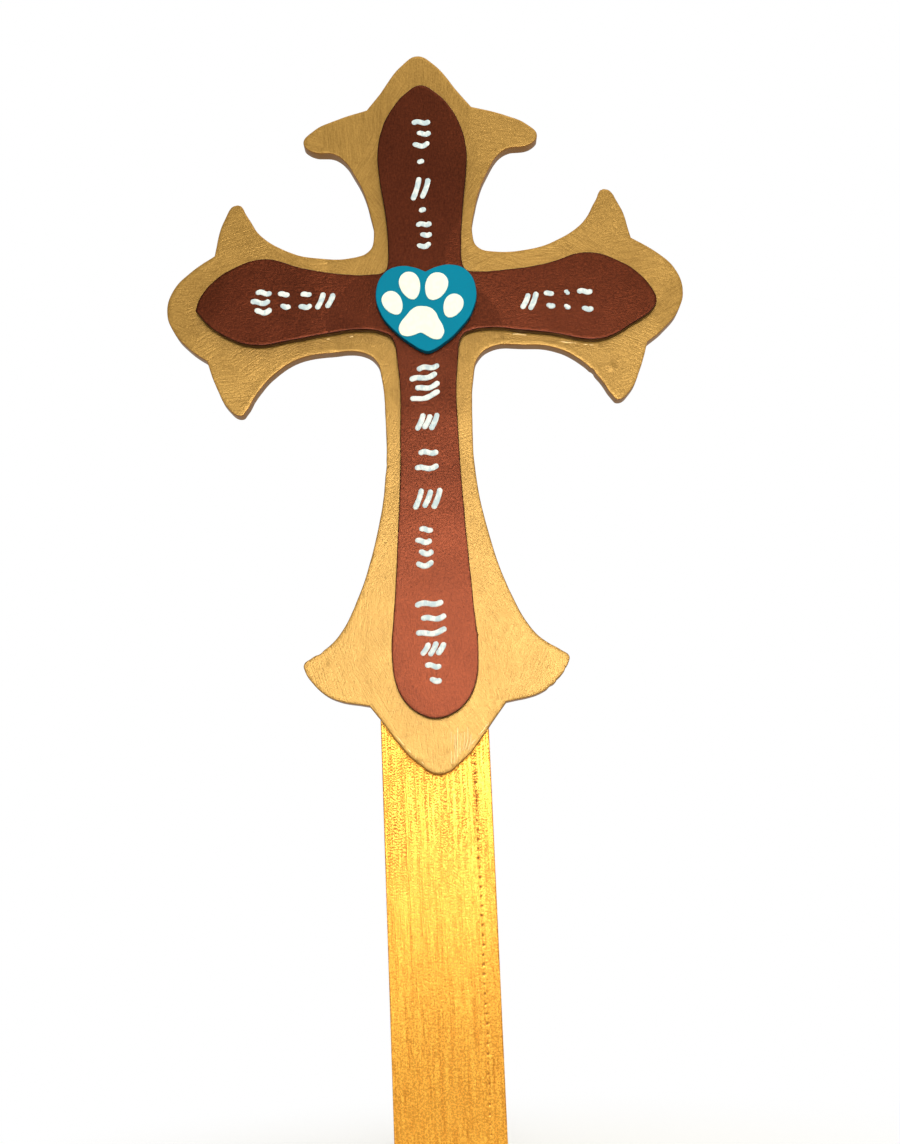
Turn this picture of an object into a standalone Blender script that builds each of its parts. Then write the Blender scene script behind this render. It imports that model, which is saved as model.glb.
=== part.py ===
"""A hand-cut wooden grave cross on a stake: two cross boards and a small heart, glued one on the other.

Metres, +Z up. The front faces -Y. The origin is the middle of the stake's foot, at ground level.
"""

import math
from dataclasses import dataclass

import bmesh
import bpy

# The stake, a plain batten that runs up behind the cross
STAKE_WIDTH = 0.038
STAKE_THICKNESS = 0.0095
STAKE_CLEAR = 0.1445  # from the ground to the cross's lower tip
STAKE_LAP = 0.078  # how far it reaches up behind the cross
STAKE_EDGE = 0.0009

# The outer board: reach is an arm's length from the crossing, spread its width across the lobes
OUTER_THICKNESS = 0.0052
OUTER_UP_REACH = 0.102
OUTER_UP_SPREAD = 0.088
OUTER_SIDE_REACH = 0.095
OUTER_SIDE_RISE = 0.0445  # the side arms' lobe tips above the crossing
OUTER_SIDE_DROP = 0.0375  # and below it
OUTER_DOWN_REACH = 0.1695
OUTER_DOWN_SPREAD = 0.0935
OUTER_BAR_TILT = math.radians(0.6)  # the cross bar is cut a little out of square
OUTER_EDGE = 0.0007

# The inner board stands back from the outer one's arm ends by these borders
INNER_THICKNESS = 0.003
TOP_BORDER = 0.0143
SIDE_BORDER = 0.011
FOOT_BORDER = 0.0192
INNER_UP_SPREAD = 0.0326
INNER_SIDE_RISE = 0.0195
INNER_SIDE_DROP = 0.0131
INNER_DOWN_SPREAD = 0.0296
INNER_BAR_TILT = math.radians(-0.45)
INNER_LEAN = math.radians(0.3)  # glued on a little clockwise, seen from the front
INNER_SHIFT = 0.0003
INNER_EDGE = 0.0005

HEART_WIDTH = 0.0368
HEART_HEIGHT = 0.0332
HEART_THICKNESS = 0.003
HEART_TOP = 0.0148  # its lobes above the crossing
HEART_SHIFT = 0.0005
HEART_EDGE = 0.0006

# The cross is fixed to the stake a little to one side and leaning
CROSS_SHIFT = 0.0026
CROSS_LEAN = math.radians(0.44)

GLUE_GAP = 0.0003
EDGE_STEPS = 2
CURVE_STEPS = 4
WELD = 1e-6
FACE_ANGLE = math.radians(8)  # a face of the board turned less than this from front or back is its flat face
SMOOTH_BELOW = math.radians(40)

# An arm's edge as stations from the crossing outwards: share of the arm's reach, share of how far the edge
# stands off the arm's middle at its widest, and whether the outline turns a sharp corner there.
OUTER_UP = (
    (0.275, 0.420, False),
    (0.382, 0.445, False),
    (0.524, 0.560, False),
    (0.610, 0.709, False),
    (0.633, 0.945, False),
    (0.664, 1.000, False),
    (0.706, 0.932, False),
    (0.755, 0.705, False),
    (0.788, 0.450, True),
    (0.843, 0.348, False),
    (0.970, 0.125, False),
)
OUTER_SIDE_UP = (
    (0.274, 0.489, False),
    (0.400, 0.492, False),
    (0.526, 0.566, False),
    (0.632, 0.719, False),
    (0.684, 0.899, False),
    (0.719, 1.000, False),
    (0.772, 0.867, False),
    (0.813, 0.555, True),
    (0.905, 0.423, False),
    (0.974, 0.270, False),
)
OUTER_SIDE_DOWN = (
    (0.245, 0.412, False),
    (0.370, 0.403, False),
    (0.490, 0.443, False),
    (0.586, 0.580, False),
    (0.664, 0.800, False),
    (0.699, 0.950, False),
    (0.721, 1.000, False),
    (0.770, 0.915, False),
    (0.811, 0.715, False),
    (0.848, 0.430, True),
    (0.920, 0.287, False),
    (0.975, 0.117, False),
)
OUTER_DOWN = (
    (0.145, 0.362, False),
    (0.250, 0.338, False),
    (0.354, 0.342, False),
    (0.522, 0.450, False),
    (0.640, 0.596, False),
    (0.703, 0.716, False),
    (0.731, 0.812, False),
    (0.754, 0.942, False),
    (0.766, 0.996, False),
    (0.779, 0.990, False),
    (0.804, 0.936, False),
    (0.838, 0.790, False),
    (0.857, 0.512, True),
    (0.890, 0.420, False),
    (0.930, 0.315, False),
    (0.974, 0.172, False),
)
INNER_UP = (
    (0.194, 0.822, False),
    (0.274, 0.810, False),
    (0.400, 0.850, False),
    (0.615, 0.985, False),
    (0.690, 1.000, False),
    (0.812, 0.878, False),
    (0.907, 0.615, False),
    (0.969, 0.308, False),
)
INNER_SIDE_UP = (
    (0.235, 0.646, False),
    (0.358, 0.664, False),
    (0.535, 0.800, False),
    (0.715, 1.000, False),
    (0.862, 0.780, False),
    (0.912, 0.626, False),
    (0.979, 0.287, False),
)
INNER_LEFT_DOWN = (
    (0.190, 0.702, False),
    (0.286, 0.595, False),
    (0.417, 0.687, False),
    (0.595, 0.885, False),
    (0.745, 1.000, False),
    (0.851, 0.794, False),
    (0.945, 0.390, False),
)
# The right arm is sanded off straighter below its tip than the left one
INNER_RIGHT_DOWN = (
    (0.190, 0.702, False),
    (0.286, 0.595, False),
    (0.417, 0.687, False),
    (0.595, 0.885, False),
    (0.700, 1.030, False),
    (0.757, 1.018, False),
    (0.807, 0.925, False),
    (0.889, 0.612, False),
    (0.955, 0.350, False),
    (0.989, 0.140, False),
)
INNER_DOWN = (
    (0.133, 0.728, False),
    (0.333, 0.690, False),
    (0.532, 0.780, False),
    (0.732, 0.918, False),
    (0.858, 1.000, False),
    (0.922, 0.918, False),
    (0.965, 0.690, False),
    (0.990, 0.370, False),
)
# The rounded inner corners where two arms meet, as (across the shaft, away from the bar's middle)
OUTER_UPPER_CORNER = (0.0201, 0.0240)
OUTER_LOWER_CORNER = (0.0184, 0.0194)
INNER_UPPER_CORNER = (0.0146, 0.0139)
INNER_LOWER_CORNER = (0.0129, 0.0110)
# How far the side arms' tips stand above the bar's middle
OUTER_SIDE_TIP = 0.0032
INNER_SIDE_TIP = 0.0004

# One side of the heart, as shares of its half width and of its height down from the lobes' top
HEART_SIDE = (
    (0.000, 0.074, True),
    (0.220, 0.022, False),
    (0.500, 0.000, False),
    (0.810, 0.070, False),
    (0.990, 0.280, False),
    (0.915, 0.540, False),
    (0.647, 0.748, False),
    (0.330, 0.905, False),
    (0.080, 0.990, False),
)

CROSSING_HEIGHT = STAKE_CLEAR + OUTER_DOWN_REACH
STAKE_FRONT = -STAKE_THICKNESS / 2
OUTER_FRONT = STAKE_FRONT - GLUE_GAP - OUTER_THICKNESS
INNER_FRONT = OUTER_FRONT - GLUE_GAP - INNER_THICKNESS
HEART_FRONT = INNER_FRONT - GLUE_GAP - HEART_THICKNESS


def clear_scene():
    for obj in list(bpy.data.objects):
        bpy.data.objects.remove(obj, do_unlink=True)


def painted_wood(name, colour, roughness, metallic):
    """A Principled material for painted wood."""
    finish = bpy.data.materials.new(name)
    finish.use_nodes = True
    shader = finish.node_tree.nodes["Principled BSDF"]
    shader.inputs["Base Color"].default_value = (*colour, 1)
    shader.inputs["Roughness"].default_value = roughness
    shader.inputs["Metallic"].default_value = metallic
    finish.diffuse_color = (*colour, 1)
    return finish


def turned(x, z, angle):
    """A point of the board turned about the crossing, anticlockwise seen from the front."""
    return (
        x * math.cos(angle) - z * math.sin(angle),
        x * math.sin(angle) + z * math.cos(angle),
    )


@dataclass
class Edge:
    """One edge of an arm: the arm's reach, how far this edge stands off at its widest, and its stations."""

    reach: float
    stand: float
    stations: tuple

    def along_shaft(self, side, upward):
        """The stations on the shaft. side is 1 to the right, upward 1 on the upper arm and -1 on the lower."""
        return [
            (side * across * self.stand, upward * out * self.reach, sharp)
            for out, across, sharp in self.stations
        ]

    def along_bar(self, side, upward, tilt):
        """The stations on a side arm. side is 1 to the right, upward 1 on the arm's upper edge."""
        return [
            (*turned(side * out * self.reach, upward * across * self.stand, tilt), sharp)
            for out, across, sharp in self.stations
        ]


@dataclass
class SideArm:
    """A side arm: its upper and lower edge and its tip, which stands above the bar's middle by tip_rise."""

    rise: Edge
    drop: Edge
    tip_rise: float
    pointed: bool

    def points(self, side, tilt):
        """The arm's edge from the upper corner out to the tip and back below it."""
        tip = turned(side * self.rise.reach, self.tip_rise, tilt)
        return [
            *self.rise.along_bar(side, 1, tilt),
            (*tip, self.pointed),
            *reversed(self.drop.along_bar(side, -1, tilt)),
        ]


@dataclass
class Cross:
    """A cross board's outline about its crossing."""

    up: Edge
    down: Edge
    right: SideArm
    left: SideArm
    upper_corner: tuple
    lower_corner: tuple
    bar_tilt: float

    def half(self, side):
        """One side from the top down to the foot, without the two tips on the axis."""
        corner_x, corner_z = self.upper_corner
        lower_x, lower_z = self.lower_corner
        arm = self.right if side > 0 else self.left
        return [
            *reversed(self.up.along_shaft(side, 1)),
            (side * corner_x, corner_z, False),
            *arm.points(side, self.bar_tilt),
            (side * lower_x, -lower_z, False),
            *self.down.along_shaft(side, -1),
        ]

    def outline(self):
        """The whole outline, clockwise from the top, as (x, z, is it a sharp corner)."""
        return [
            (0, self.up.reach, False),
            *self.half(1),
            (0, -self.down.reach, False),
            *reversed(self.half(-1)),
        ]


def heart_outline():
    """The heart's outline, clockwise from the cleft, about the crossing."""
    half = [
        (across * HEART_WIDTH / 2, HEART_TOP - down * HEART_HEIGHT, sharp)
        for across, down, sharp in HEART_SIDE
    ]
    foot = (0, HEART_TOP - HEART_HEIGHT, False)
    return [*half, foot, *((-x, z, sharp) for x, z, sharp in reversed(half[1:]))]


def outline_curve(name, outline, thickness):
    """A flat closed curve with the board's thickness, drawn in its own XY plane."""
    curve = bpy.data.curves.new(name, "CURVE")
    curve.dimensions = "2D"
    curve.fill_mode = "BOTH"
    curve.extrude = thickness / 2
    curve.resolution_u = CURVE_STEPS
    spline = curve.splines.new("BEZIER")
    spline.bezier_points.add(len(outline) - 1)
    spline.use_cyclic_u = True
    for point, (x, z, sharp) in zip(spline.bezier_points, outline):
        point.co = (x, z, 0)
        point.handle_left_type = point.handle_right_type = "VECTOR" if sharp else "AUTO"
    return bpy.data.objects.new(name, curve)


def welded_board(curve_object):
    """The curve as a closed mesh whose two faces are one polygon each, with its rims marked for rounding."""
    bpy.context.scene.collection.objects.link(curve_object)
    graph = bpy.context.evaluated_depsgraph_get()
    mesh = bpy.data.meshes.new_from_object(curve_object.evaluated_get(graph))
    bpy.data.objects.remove(curve_object)
    board = bmesh.new()
    board.from_mesh(mesh)
    bmesh.ops.remove_doubles(board, verts=board.verts, dist=WELD)
    board.normal_update()
    squarely = math.cos(FACE_ANGLE)
    for facing in (1, -1):
        flat = [face for face in board.faces if face.normal.z * facing > squarely]
        bmesh.ops.dissolve_faces(board, faces=flat)
    board.normal_update()
    rim = board.edges.layers.float.new("bevel_weight_edge")
    for edge in board.edges:
        edge[rim] = float(any(abs(face.normal.z) > squarely for face in edge.link_faces))
    board.to_mesh(mesh)
    board.free()
    return mesh


def round_edges(obj, width):
    """A small rounding along the edges that the mesh marks."""
    bevel = obj.modifiers.new("rounded edges", "BEVEL")
    bevel.limit_method = "WEIGHT"
    bevel.width = width
    bevel.segments = EDGE_STEPS
    bevel.use_clamp_overlap = False
    obj.data.shade_smooth()
    obj.data.set_sharp_from_angle(angle=SMOOTH_BELOW)


def add_board(name, outline, thickness, front, edge, finish, parts, holder):
    """A cut-out board with its outline about the crossing and its front face at y = front."""
    obj = bpy.data.objects.new(name, welded_board(outline_curve(name, outline, thickness)))
    obj.data.name = name
    obj.data.materials.clear()
    obj.data.materials.append(finish)
    obj.parent = holder
    obj.location = (0, front + thickness / 2, 0)
    obj.rotation_euler = (math.pi / 2, 0, 0)
    parts.objects.link(obj)
    round_edges(obj, edge)


def add_stake(parts):
    """The batten, cut flat at the ground and rounded along its other edges."""
    height = STAKE_CLEAR + STAKE_LAP
    mesh = bpy.data.meshes.new("stake")
    block = bmesh.new()
    bmesh.ops.create_cube(block, size=1)
    bmesh.ops.scale(block, vec=(STAKE_WIDTH, STAKE_THICKNESS, height), verts=block.verts)
    bmesh.ops.translate(block, vec=(0, 0, height / 2), verts=block.verts)
    rim = block.edges.layers.float.new("bevel_weight_edge")
    for edge in block.edges:
        edge[rim] = float(any(vertex.co.z > height / 2 for vertex in edge.verts))
    block.to_mesh(mesh)
    block.free()
    obj = bpy.data.objects.new("stake", mesh)
    mesh.materials.append(painted_wood("gold_stake_paint", (0.80, 0.50, 0.14), 0.42, 0.7))
    parts.objects.link(obj)
    round_edges(obj, STAKE_EDGE)


def add_outer_cross(parts, holder):
    arm = SideArm(
        rise=Edge(OUTER_SIDE_REACH, OUTER_SIDE_RISE, OUTER_SIDE_UP),
        drop=Edge(OUTER_SIDE_REACH, OUTER_SIDE_DROP, OUTER_SIDE_DOWN),
        tip_rise=OUTER_SIDE_TIP,
        pointed=False,
    )
    shape = Cross(
        up=Edge(OUTER_UP_REACH, OUTER_UP_SPREAD / 2, OUTER_UP),
        down=Edge(OUTER_DOWN_REACH, OUTER_DOWN_SPREAD / 2, OUTER_DOWN),
        right=arm,
        left=arm,
        upper_corner=OUTER_UPPER_CORNER,
        lower_corner=OUTER_LOWER_CORNER,
        bar_tilt=OUTER_BAR_TILT,
    )
    finish = painted_wood("gold_board_paint", (0.62, 0.38, 0.12), 0.40, 0.8)
    add_board("outer_cross", shape.outline(), OUTER_THICKNESS, OUTER_FRONT, OUTER_EDGE, finish, parts, holder)


def add_inner_cross(parts, holder):
    side_reach = OUTER_SIDE_REACH - SIDE_BORDER
    rise = Edge(side_reach, INNER_SIDE_RISE, INNER_SIDE_UP)
    left_drop = Edge(side_reach, INNER_SIDE_DROP, INNER_LEFT_DOWN)
    right_drop = Edge(side_reach, INNER_SIDE_DROP, INNER_RIGHT_DOWN)
    shape = Cross(
        up=Edge(OUTER_UP_REACH - TOP_BORDER, INNER_UP_SPREAD / 2, INNER_UP),
        down=Edge(OUTER_DOWN_REACH - FOOT_BORDER, INNER_DOWN_SPREAD / 2, INNER_DOWN),
        right=SideArm(rise, right_drop, INNER_SIDE_TIP, pointed=False),
        left=SideArm(rise, left_drop, INNER_SIDE_TIP, pointed=True),
        upper_corner=INNER_UPPER_CORNER,
        lower_corner=INNER_LOWER_CORNER,
        bar_tilt=INNER_BAR_TILT,
    )
    leaning = [(*turned(x, z, -INNER_LEAN), sharp) for x, z, sharp in shape.outline()]
    outline = [(x + INNER_SHIFT, z, sharp) for x, z, sharp in leaning]
    finish = painted_wood("red_brown_paint", (0.16, 0.035, 0.02), 0.35, 0.3)
    add_board("inner_cross", outline, INNER_THICKNESS, INNER_FRONT, INNER_EDGE, finish, parts, holder)


def add_heart(parts, holder):
    finish = painted_wood("teal_paint", (0.0, 0.21, 0.30), 0.45, 0.0)
    outline = [(x + HEART_SHIFT, z, sharp) for x, z, sharp in heart_outline()]
    add_board("heart", outline, HEART_THICKNESS, HEART_FRONT, HEART_EDGE, finish, parts, holder)


def main():
    clear_scene()
    parts = bpy.data.collections.new("grave_cross")
    bpy.context.scene.collection.children.link(parts)
    crossing = bpy.data.objects.new("crossing", None)
    crossing.location = (CROSS_SHIFT, 0, CROSSING_HEIGHT)
    crossing.rotation_euler = (0, CROSS_LEAN, 0)
    parts.objects.link(crossing)
    add_stake(parts)
    add_outer_cross(parts, crossing)
    add_inner_cross(parts, crossing)
    add_heart(parts, crossing)


main()
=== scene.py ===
"""Dresses the grave cross: hand-painted boards and a heart on a ribbed gold stake, in a plain pale studio.

Metres, +Z up. The painted front faces -Y, and the origin is the middle of the stake's foot.
"""

import logging
import math
from dataclasses import dataclass, field
from enum import Enum
from typing import Callable

import bmesh
import bpy
import numpy as np
from mathutils import Matrix, Vector
from mathutils.geometry import delaunay_2d_cdt


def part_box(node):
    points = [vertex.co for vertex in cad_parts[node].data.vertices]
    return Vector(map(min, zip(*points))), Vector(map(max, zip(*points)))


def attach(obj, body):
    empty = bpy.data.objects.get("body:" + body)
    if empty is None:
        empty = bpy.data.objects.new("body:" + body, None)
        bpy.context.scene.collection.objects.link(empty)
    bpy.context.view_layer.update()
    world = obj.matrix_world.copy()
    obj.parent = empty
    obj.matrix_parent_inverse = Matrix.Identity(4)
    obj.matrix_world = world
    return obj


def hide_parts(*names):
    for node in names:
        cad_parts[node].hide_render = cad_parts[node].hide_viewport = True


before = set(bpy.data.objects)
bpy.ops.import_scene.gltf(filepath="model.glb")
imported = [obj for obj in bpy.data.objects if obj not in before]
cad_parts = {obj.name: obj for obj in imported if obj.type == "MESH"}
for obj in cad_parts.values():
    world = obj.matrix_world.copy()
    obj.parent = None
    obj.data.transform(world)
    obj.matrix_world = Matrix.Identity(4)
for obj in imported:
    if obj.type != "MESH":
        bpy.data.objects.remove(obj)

log = logging.getLogger("grave_cross")

MM = 0.001
Triple = tuple[float, float, float]
Pair = tuple[float, float]
Faces = list[tuple[int, ...]]
Socket = bpy.types.NodeSocket
Relief = Callable[[np.ndarray, np.ndarray, np.ndarray], np.ndarray]

# Factors and mask of the hash behind value_noise
HASH_X, HASH_Z, HASH_SEED, HASH_MIX = 374761393, 668265263, 144269504, 1274126177
LOW_BITS = 0xFFFFFFFF


def value_noise(
    x: np.ndarray, z: np.ndarray, width: float, height: float, seed: int, shift: float = 0.0
) -> np.ndarray:
    """Smooth random lumps, the same on every run.

    Args:
        x: each point's x.
        z: each point's z.
        width: a lump's width.
        height: a lump's height.
        seed: picks one pattern out of many.
        shift: how many lumps the pattern is moved by.

    Returns:
        A value from -1 to 1 for each point.
    """
    across, along = x / width, z / height + shift
    cell_x, cell_z = np.floor(across).astype(np.int64), np.floor(along).astype(np.int64)
    part_x, part_z = across - cell_x, along - cell_z
    part_x = part_x * part_x * (3 - 2 * part_x)
    part_z = part_z * part_z * (3 - 2 * part_z)
    corners = []
    for step_x, step_z in ((0, 0), (1, 0), (0, 1), (1, 1)):
        mixed = (cell_x + step_x) * HASH_X + (cell_z + step_z) * HASH_Z + seed * HASH_SEED
        mixed &= LOW_BITS
        mixed = ((mixed ^ (mixed >> 13)) * HASH_MIX) & LOW_BITS
        corners.append(((mixed ^ (mixed >> 16)) & 0xFFFF) / 32767.5 - 1)
    low = corners[0] * (1 - part_x) + corners[1] * part_x
    high = corners[2] * (1 - part_x) + corners[3] * part_x
    return low * (1 - part_z) + high * part_z


def closed_spline(points: np.ndarray, steps: int, sharp_turn: float = 0.6) -> np.ndarray:
    """Rounds a closed polygon off into a smooth curve through its points, and keeps its sharp corners.

    Args:
        points: the corners in order, as rows of (x, z).
        steps: how many points stand for each side.
        sharp_turn: a corner that turns by more than this, in radians, stays sharp.

    Returns:
        The curve's points, in order.
    """
    before, after = np.roll(points, 1, axis=0), np.roll(points, -1, axis=0)
    inward, outward = points - before, after - points
    sine = inward[:, 0] * outward[:, 1] - inward[:, 1] * outward[:, 0]
    sharp = np.abs(np.arctan2(sine, (inward * outward).sum(axis=1)))[:, None] > sharp_turn
    lengths_in = np.linalg.norm(inward, axis=1)[:, None]
    lengths_out = np.linalg.norm(outward, axis=1)[:, None]
    direction = (inward / lengths_in) * lengths_out + (outward / lengths_out) * lengths_in
    direction /= lengths_in + lengths_out
    leave = np.where(sharp, outward / lengths_out, direction) * lengths_out
    arrive = np.roll(np.where(sharp, inward / lengths_in, direction), -1, axis=0) * lengths_out
    parts = []
    for step in range(steps):
        t = step / steps
        ends = (2 * t**3 - 3 * t**2 + 1) * points + (t**3 - 2 * t**2 + t) * leave
        parts.append(ends + (-2 * t**3 + 3 * t**2) * after + (t**3 - t**2) * arrive)
    return np.stack(parts, axis=1).reshape(-1, 2)


def resampled(path: np.ndarray, step: float) -> np.ndarray:
    """A path's points at even steps.

    Args:
        path: rows of (x, z).
        step: about how far apart the new points are.

    Returns:
        The new rows.
    """
    lengths = np.concatenate([[0], np.cumsum(np.linalg.norm(np.diff(path, axis=0), axis=1))])
    marks = np.linspace(0, lengths[-1], max(4, round(lengths[-1] / step)))
    return np.stack([np.interp(marks, lengths, path[:, 0]), np.interp(marks, lengths, path[:, 1])], axis=1)


def turned(x: np.ndarray, z: np.ndarray, angle: float) -> np.ndarray:
    """Points turned anticlockwise about the origin by an angle, as rows of (x, z)."""
    cos, sin = math.cos(angle), math.sin(angle)
    return np.stack([x * cos - z * sin, x * sin + z * cos], axis=1)


def anticlockwise(points: np.ndarray) -> np.ndarray:
    """A closed outline's points, in reverse order if they ran clockwise seen from the front."""
    x, z = points.T
    return points[::-1].copy() if (x * np.roll(z, -1) - np.roll(x, -1) * z).sum() < 0 else points


@dataclass(frozen=True)
class CrossFrame:
    """Where the crossing of the boards stands, and how the cross leans on its stake."""

    shift: float = 2.6 * MM
    height: float = 0.314
    lean: float = math.radians(0.44)

    def place(self, points: np.ndarray) -> np.ndarray:
        """Takes rows of (x, z) about the crossing, in metres, to the world."""
        return turned(points[:, 0], points[:, 1], -self.lean) + (self.shift, self.height)


CROSS = CrossFrame()


@dataclass(frozen=True)
class Spot:
    """A small round bite out of an edge or bead on a face. A negative size swells or dents instead."""

    x: float
    z: float
    radius: float
    size: float

    def reach(self, x: np.ndarray, z: np.ndarray) -> np.ndarray:
        """How far the spot bites in or stands proud at each point."""
        away = np.hypot(x - self.x, z - self.z) / self.radius
        return self.size * np.clip(1 - away**2, 0, 1) ** 2


def spots(*rows: tuple[float, float, float, float]) -> tuple[Spot, ...]:
    """Spots from (x, z, radius, size) in millimetres about the crossing."""
    places = CROSS.place(np.array([row[:2] for row in rows]) * MM)
    return tuple(Spot(x, z, row[2] * MM, row[3] * MM) for (x, z), row in zip(places.tolist(), rows))


@dataclass
class Outline:
    """A closed outline in a board's plane, anticlockwise seen from the front, as rows of (x, z)."""

    points: np.ndarray

    @classmethod
    def of_node(
        cls, node: str, arris: float, same_point: float = 1e-6, same_level: float = 3e-5
    ) -> "Outline":
        """Reads a packed board's outline off its wall, just behind the rounded front edge.

        Args:
            node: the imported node's name.
            arris: how deep the rounding of its front edge reaches.
            same_point: corners nearer than this are one.
            same_level: corners nearer to the rounding's end than this are on the outline.

        Returns:
            The outline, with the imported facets' corners.
        """
        shape = bmesh.new()
        shape.from_mesh(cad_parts[node].data)
        bmesh.ops.remove_doubles(shape, verts=shape.verts, dist=same_point)
        level = min(vertex.co.y for vertex in shape.verts) + arris
        left = {vertex for vertex in shape.verts if abs(vertex.co.y - level) < same_level}
        here = min(left, key=lambda vertex: (vertex.co.z, vertex.co.x))
        order = []
        while here is not None:
            order.append((here.co.x, here.co.z))
            left.discard(here)
            near = [edge.other_vert(here) for edge in here.link_edges]
            onward = [vertex for vertex in near if vertex in left]
            here = min(onward, key=lambda vertex: (vertex.co - here.co).length, default=None)
        shape.free()
        return cls(anticlockwise(np.array(order)))

    def smoothed(self, step: float) -> "Outline":
        """The outline as an even smooth curve with about one point every step, sharp corners kept."""
        sides = np.linalg.norm(np.roll(self.points, -1, axis=0) - self.points, axis=1)
        return Outline(closed_spline(self.points, max(1, round(float(sides.mean()) / step))))

    def normals(self) -> np.ndarray:
        """The outward directions.

        Returns:
            The direction at each point, longer at a corner so that an inset stays even.
        """
        onward = np.roll(self.points, -1, axis=0) - self.points
        onward /= np.linalg.norm(onward, axis=1)[:, None]
        out = np.stack([onward[:, 1], -onward[:, 0]], axis=1)
        both = out + np.roll(out, 1, axis=0)
        return both / np.maximum((both * both).sum(axis=1) / 2, 0.5)[:, None]

    def cut_by_hand(
        self,
        nicks: tuple[Spot, ...],
        wander: float,
        seed: int,
        slow: float = 11 * MM,
        quick: float = 3.1 * MM,
        quick_share: float = 0.4,
    ) -> "Outline":
        """The outline with a saw's slight wander and the board's nicks.

        Args:
            nicks: bites out of the edge.
            wander: how far the edge wanders from its line.
            seed: picks the wander.
            slow: the length of its slow swings.
            quick: the length of its quick ones.
            quick_share: how far the quick swings reach, against the slow ones.

        Returns:
            The uneven outline.
        """
        x, z = self.points.T
        drift = wander * value_noise(x, z, slow, slow, seed)
        drift += quick_share * wander * value_noise(x, z, quick, quick, seed + 1)
        for nick in nicks:
            drift -= nick.reach(x, z)
        return Outline(self.points + self.normals() * drift[:, None])

    def inset(self, distance: float) -> np.ndarray:
        """The outline's points moved inwards by a distance."""
        return self.points - self.normals() * distance

    def holds(self, x: np.ndarray, z: np.ndarray) -> np.ndarray:
        """Whether each point lies inside the outline.

        Args:
            x: the points' x.
            z: the points' z.

        Returns:
            True for each point inside.
        """
        inside = np.zeros(len(x), bool)
        for (x0, z0), (x1, z1) in zip(self.points, np.roll(self.points, -1, axis=0)):
            if z0 != z1:
                crosses = (z0 > z) != (z1 > z)
                inside ^= crosses & (x < x0 + (x1 - x0) * (z - z0) / (z1 - z0))
        return inside

    def distance(self, x: np.ndarray, z: np.ndarray) -> np.ndarray:
        """How far each point lies from the outline's nearest point.

        Args:
            x: the points' x.
            z: the points' z.

        Returns:
            The distances.
        """
        nearest = np.full(len(x), np.inf)
        for x0, z0 in self.points:
            np.minimum(nearest, (x - x0) ** 2 + (z - z0) ** 2, out=nearest)
        return np.sqrt(nearest)


def filled(
    rim: np.ndarray, grid: float, clear: float = 0.6, same_point: float = 1e-9
) -> tuple[np.ndarray, Faces]:
    """Fills a rim with an even net of triangles.

    Args:
        rim: the face's edge, anticlockwise, as rows of (x, z).
        grid: the net's spacing.
        clear: how far the net keeps off the rim, as a share of its spacing.
        same_point: points nearer than this are one.

    Returns:
        The points inside, and the triangles, which count the rim's points first and the inner ones after.
    """
    edge = Outline(rim)
    (low_x, low_z), (high_x, high_z) = rim.min(axis=0), rim.max(axis=0)
    rows = np.arange(low_z, high_z, grid * math.sqrt(0.75))
    columns = np.arange(low_x, high_x, grid)
    x, z = (part.ravel() for part in np.meshgrid(columns, rows))
    x = x + np.repeat(np.arange(len(rows)) % 2, len(columns)) * grid / 2
    keep = edge.holds(x, z)
    x, z = x[keep], z[keep]
    keep = edge.distance(x, z) > grid * clear
    inner = np.stack([x[keep], z[keep]], axis=1)
    every = [Vector(point) for point in np.concatenate([rim, inner])]
    made = delaunay_2d_cdt(every, [], [list(range(len(rim)))], 1, same_point)
    source = [where[0] for where in made[3]]
    return inner, [tuple(source[corner] for corner in face) for face in made[2]]


def bands(count: int, rings: int, flip: bool = False) -> Faces:
    """The quads between rings of points that are numbered one ring after another.

    Args:
        count: points to a ring.
        rings: how many rings there are.
        flip: turns the quads over.

    Returns:
        The quads.
    """
    faces = []
    for start in range(0, (rings - 1) * count, count):
        for here in range(count):
            there = (here + 1) % count
            quad = (start + here, start + there, start + count + there, start + count + here)
            faces.append((quad[0], *quad[:0:-1]) if flip else quad)
    return faces


def add_object(name: str, data: bpy.types.ID) -> bpy.types.Object:
    """Puts new data into the scene as an object at the origin.

    Args:
        name: the object's name.
        data: its mesh, curve, lamp or camera.

    Returns:
        The object.
    """
    made = bpy.data.objects.new(name, data)
    bpy.context.scene.collection.objects.link(made)
    return made


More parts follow.
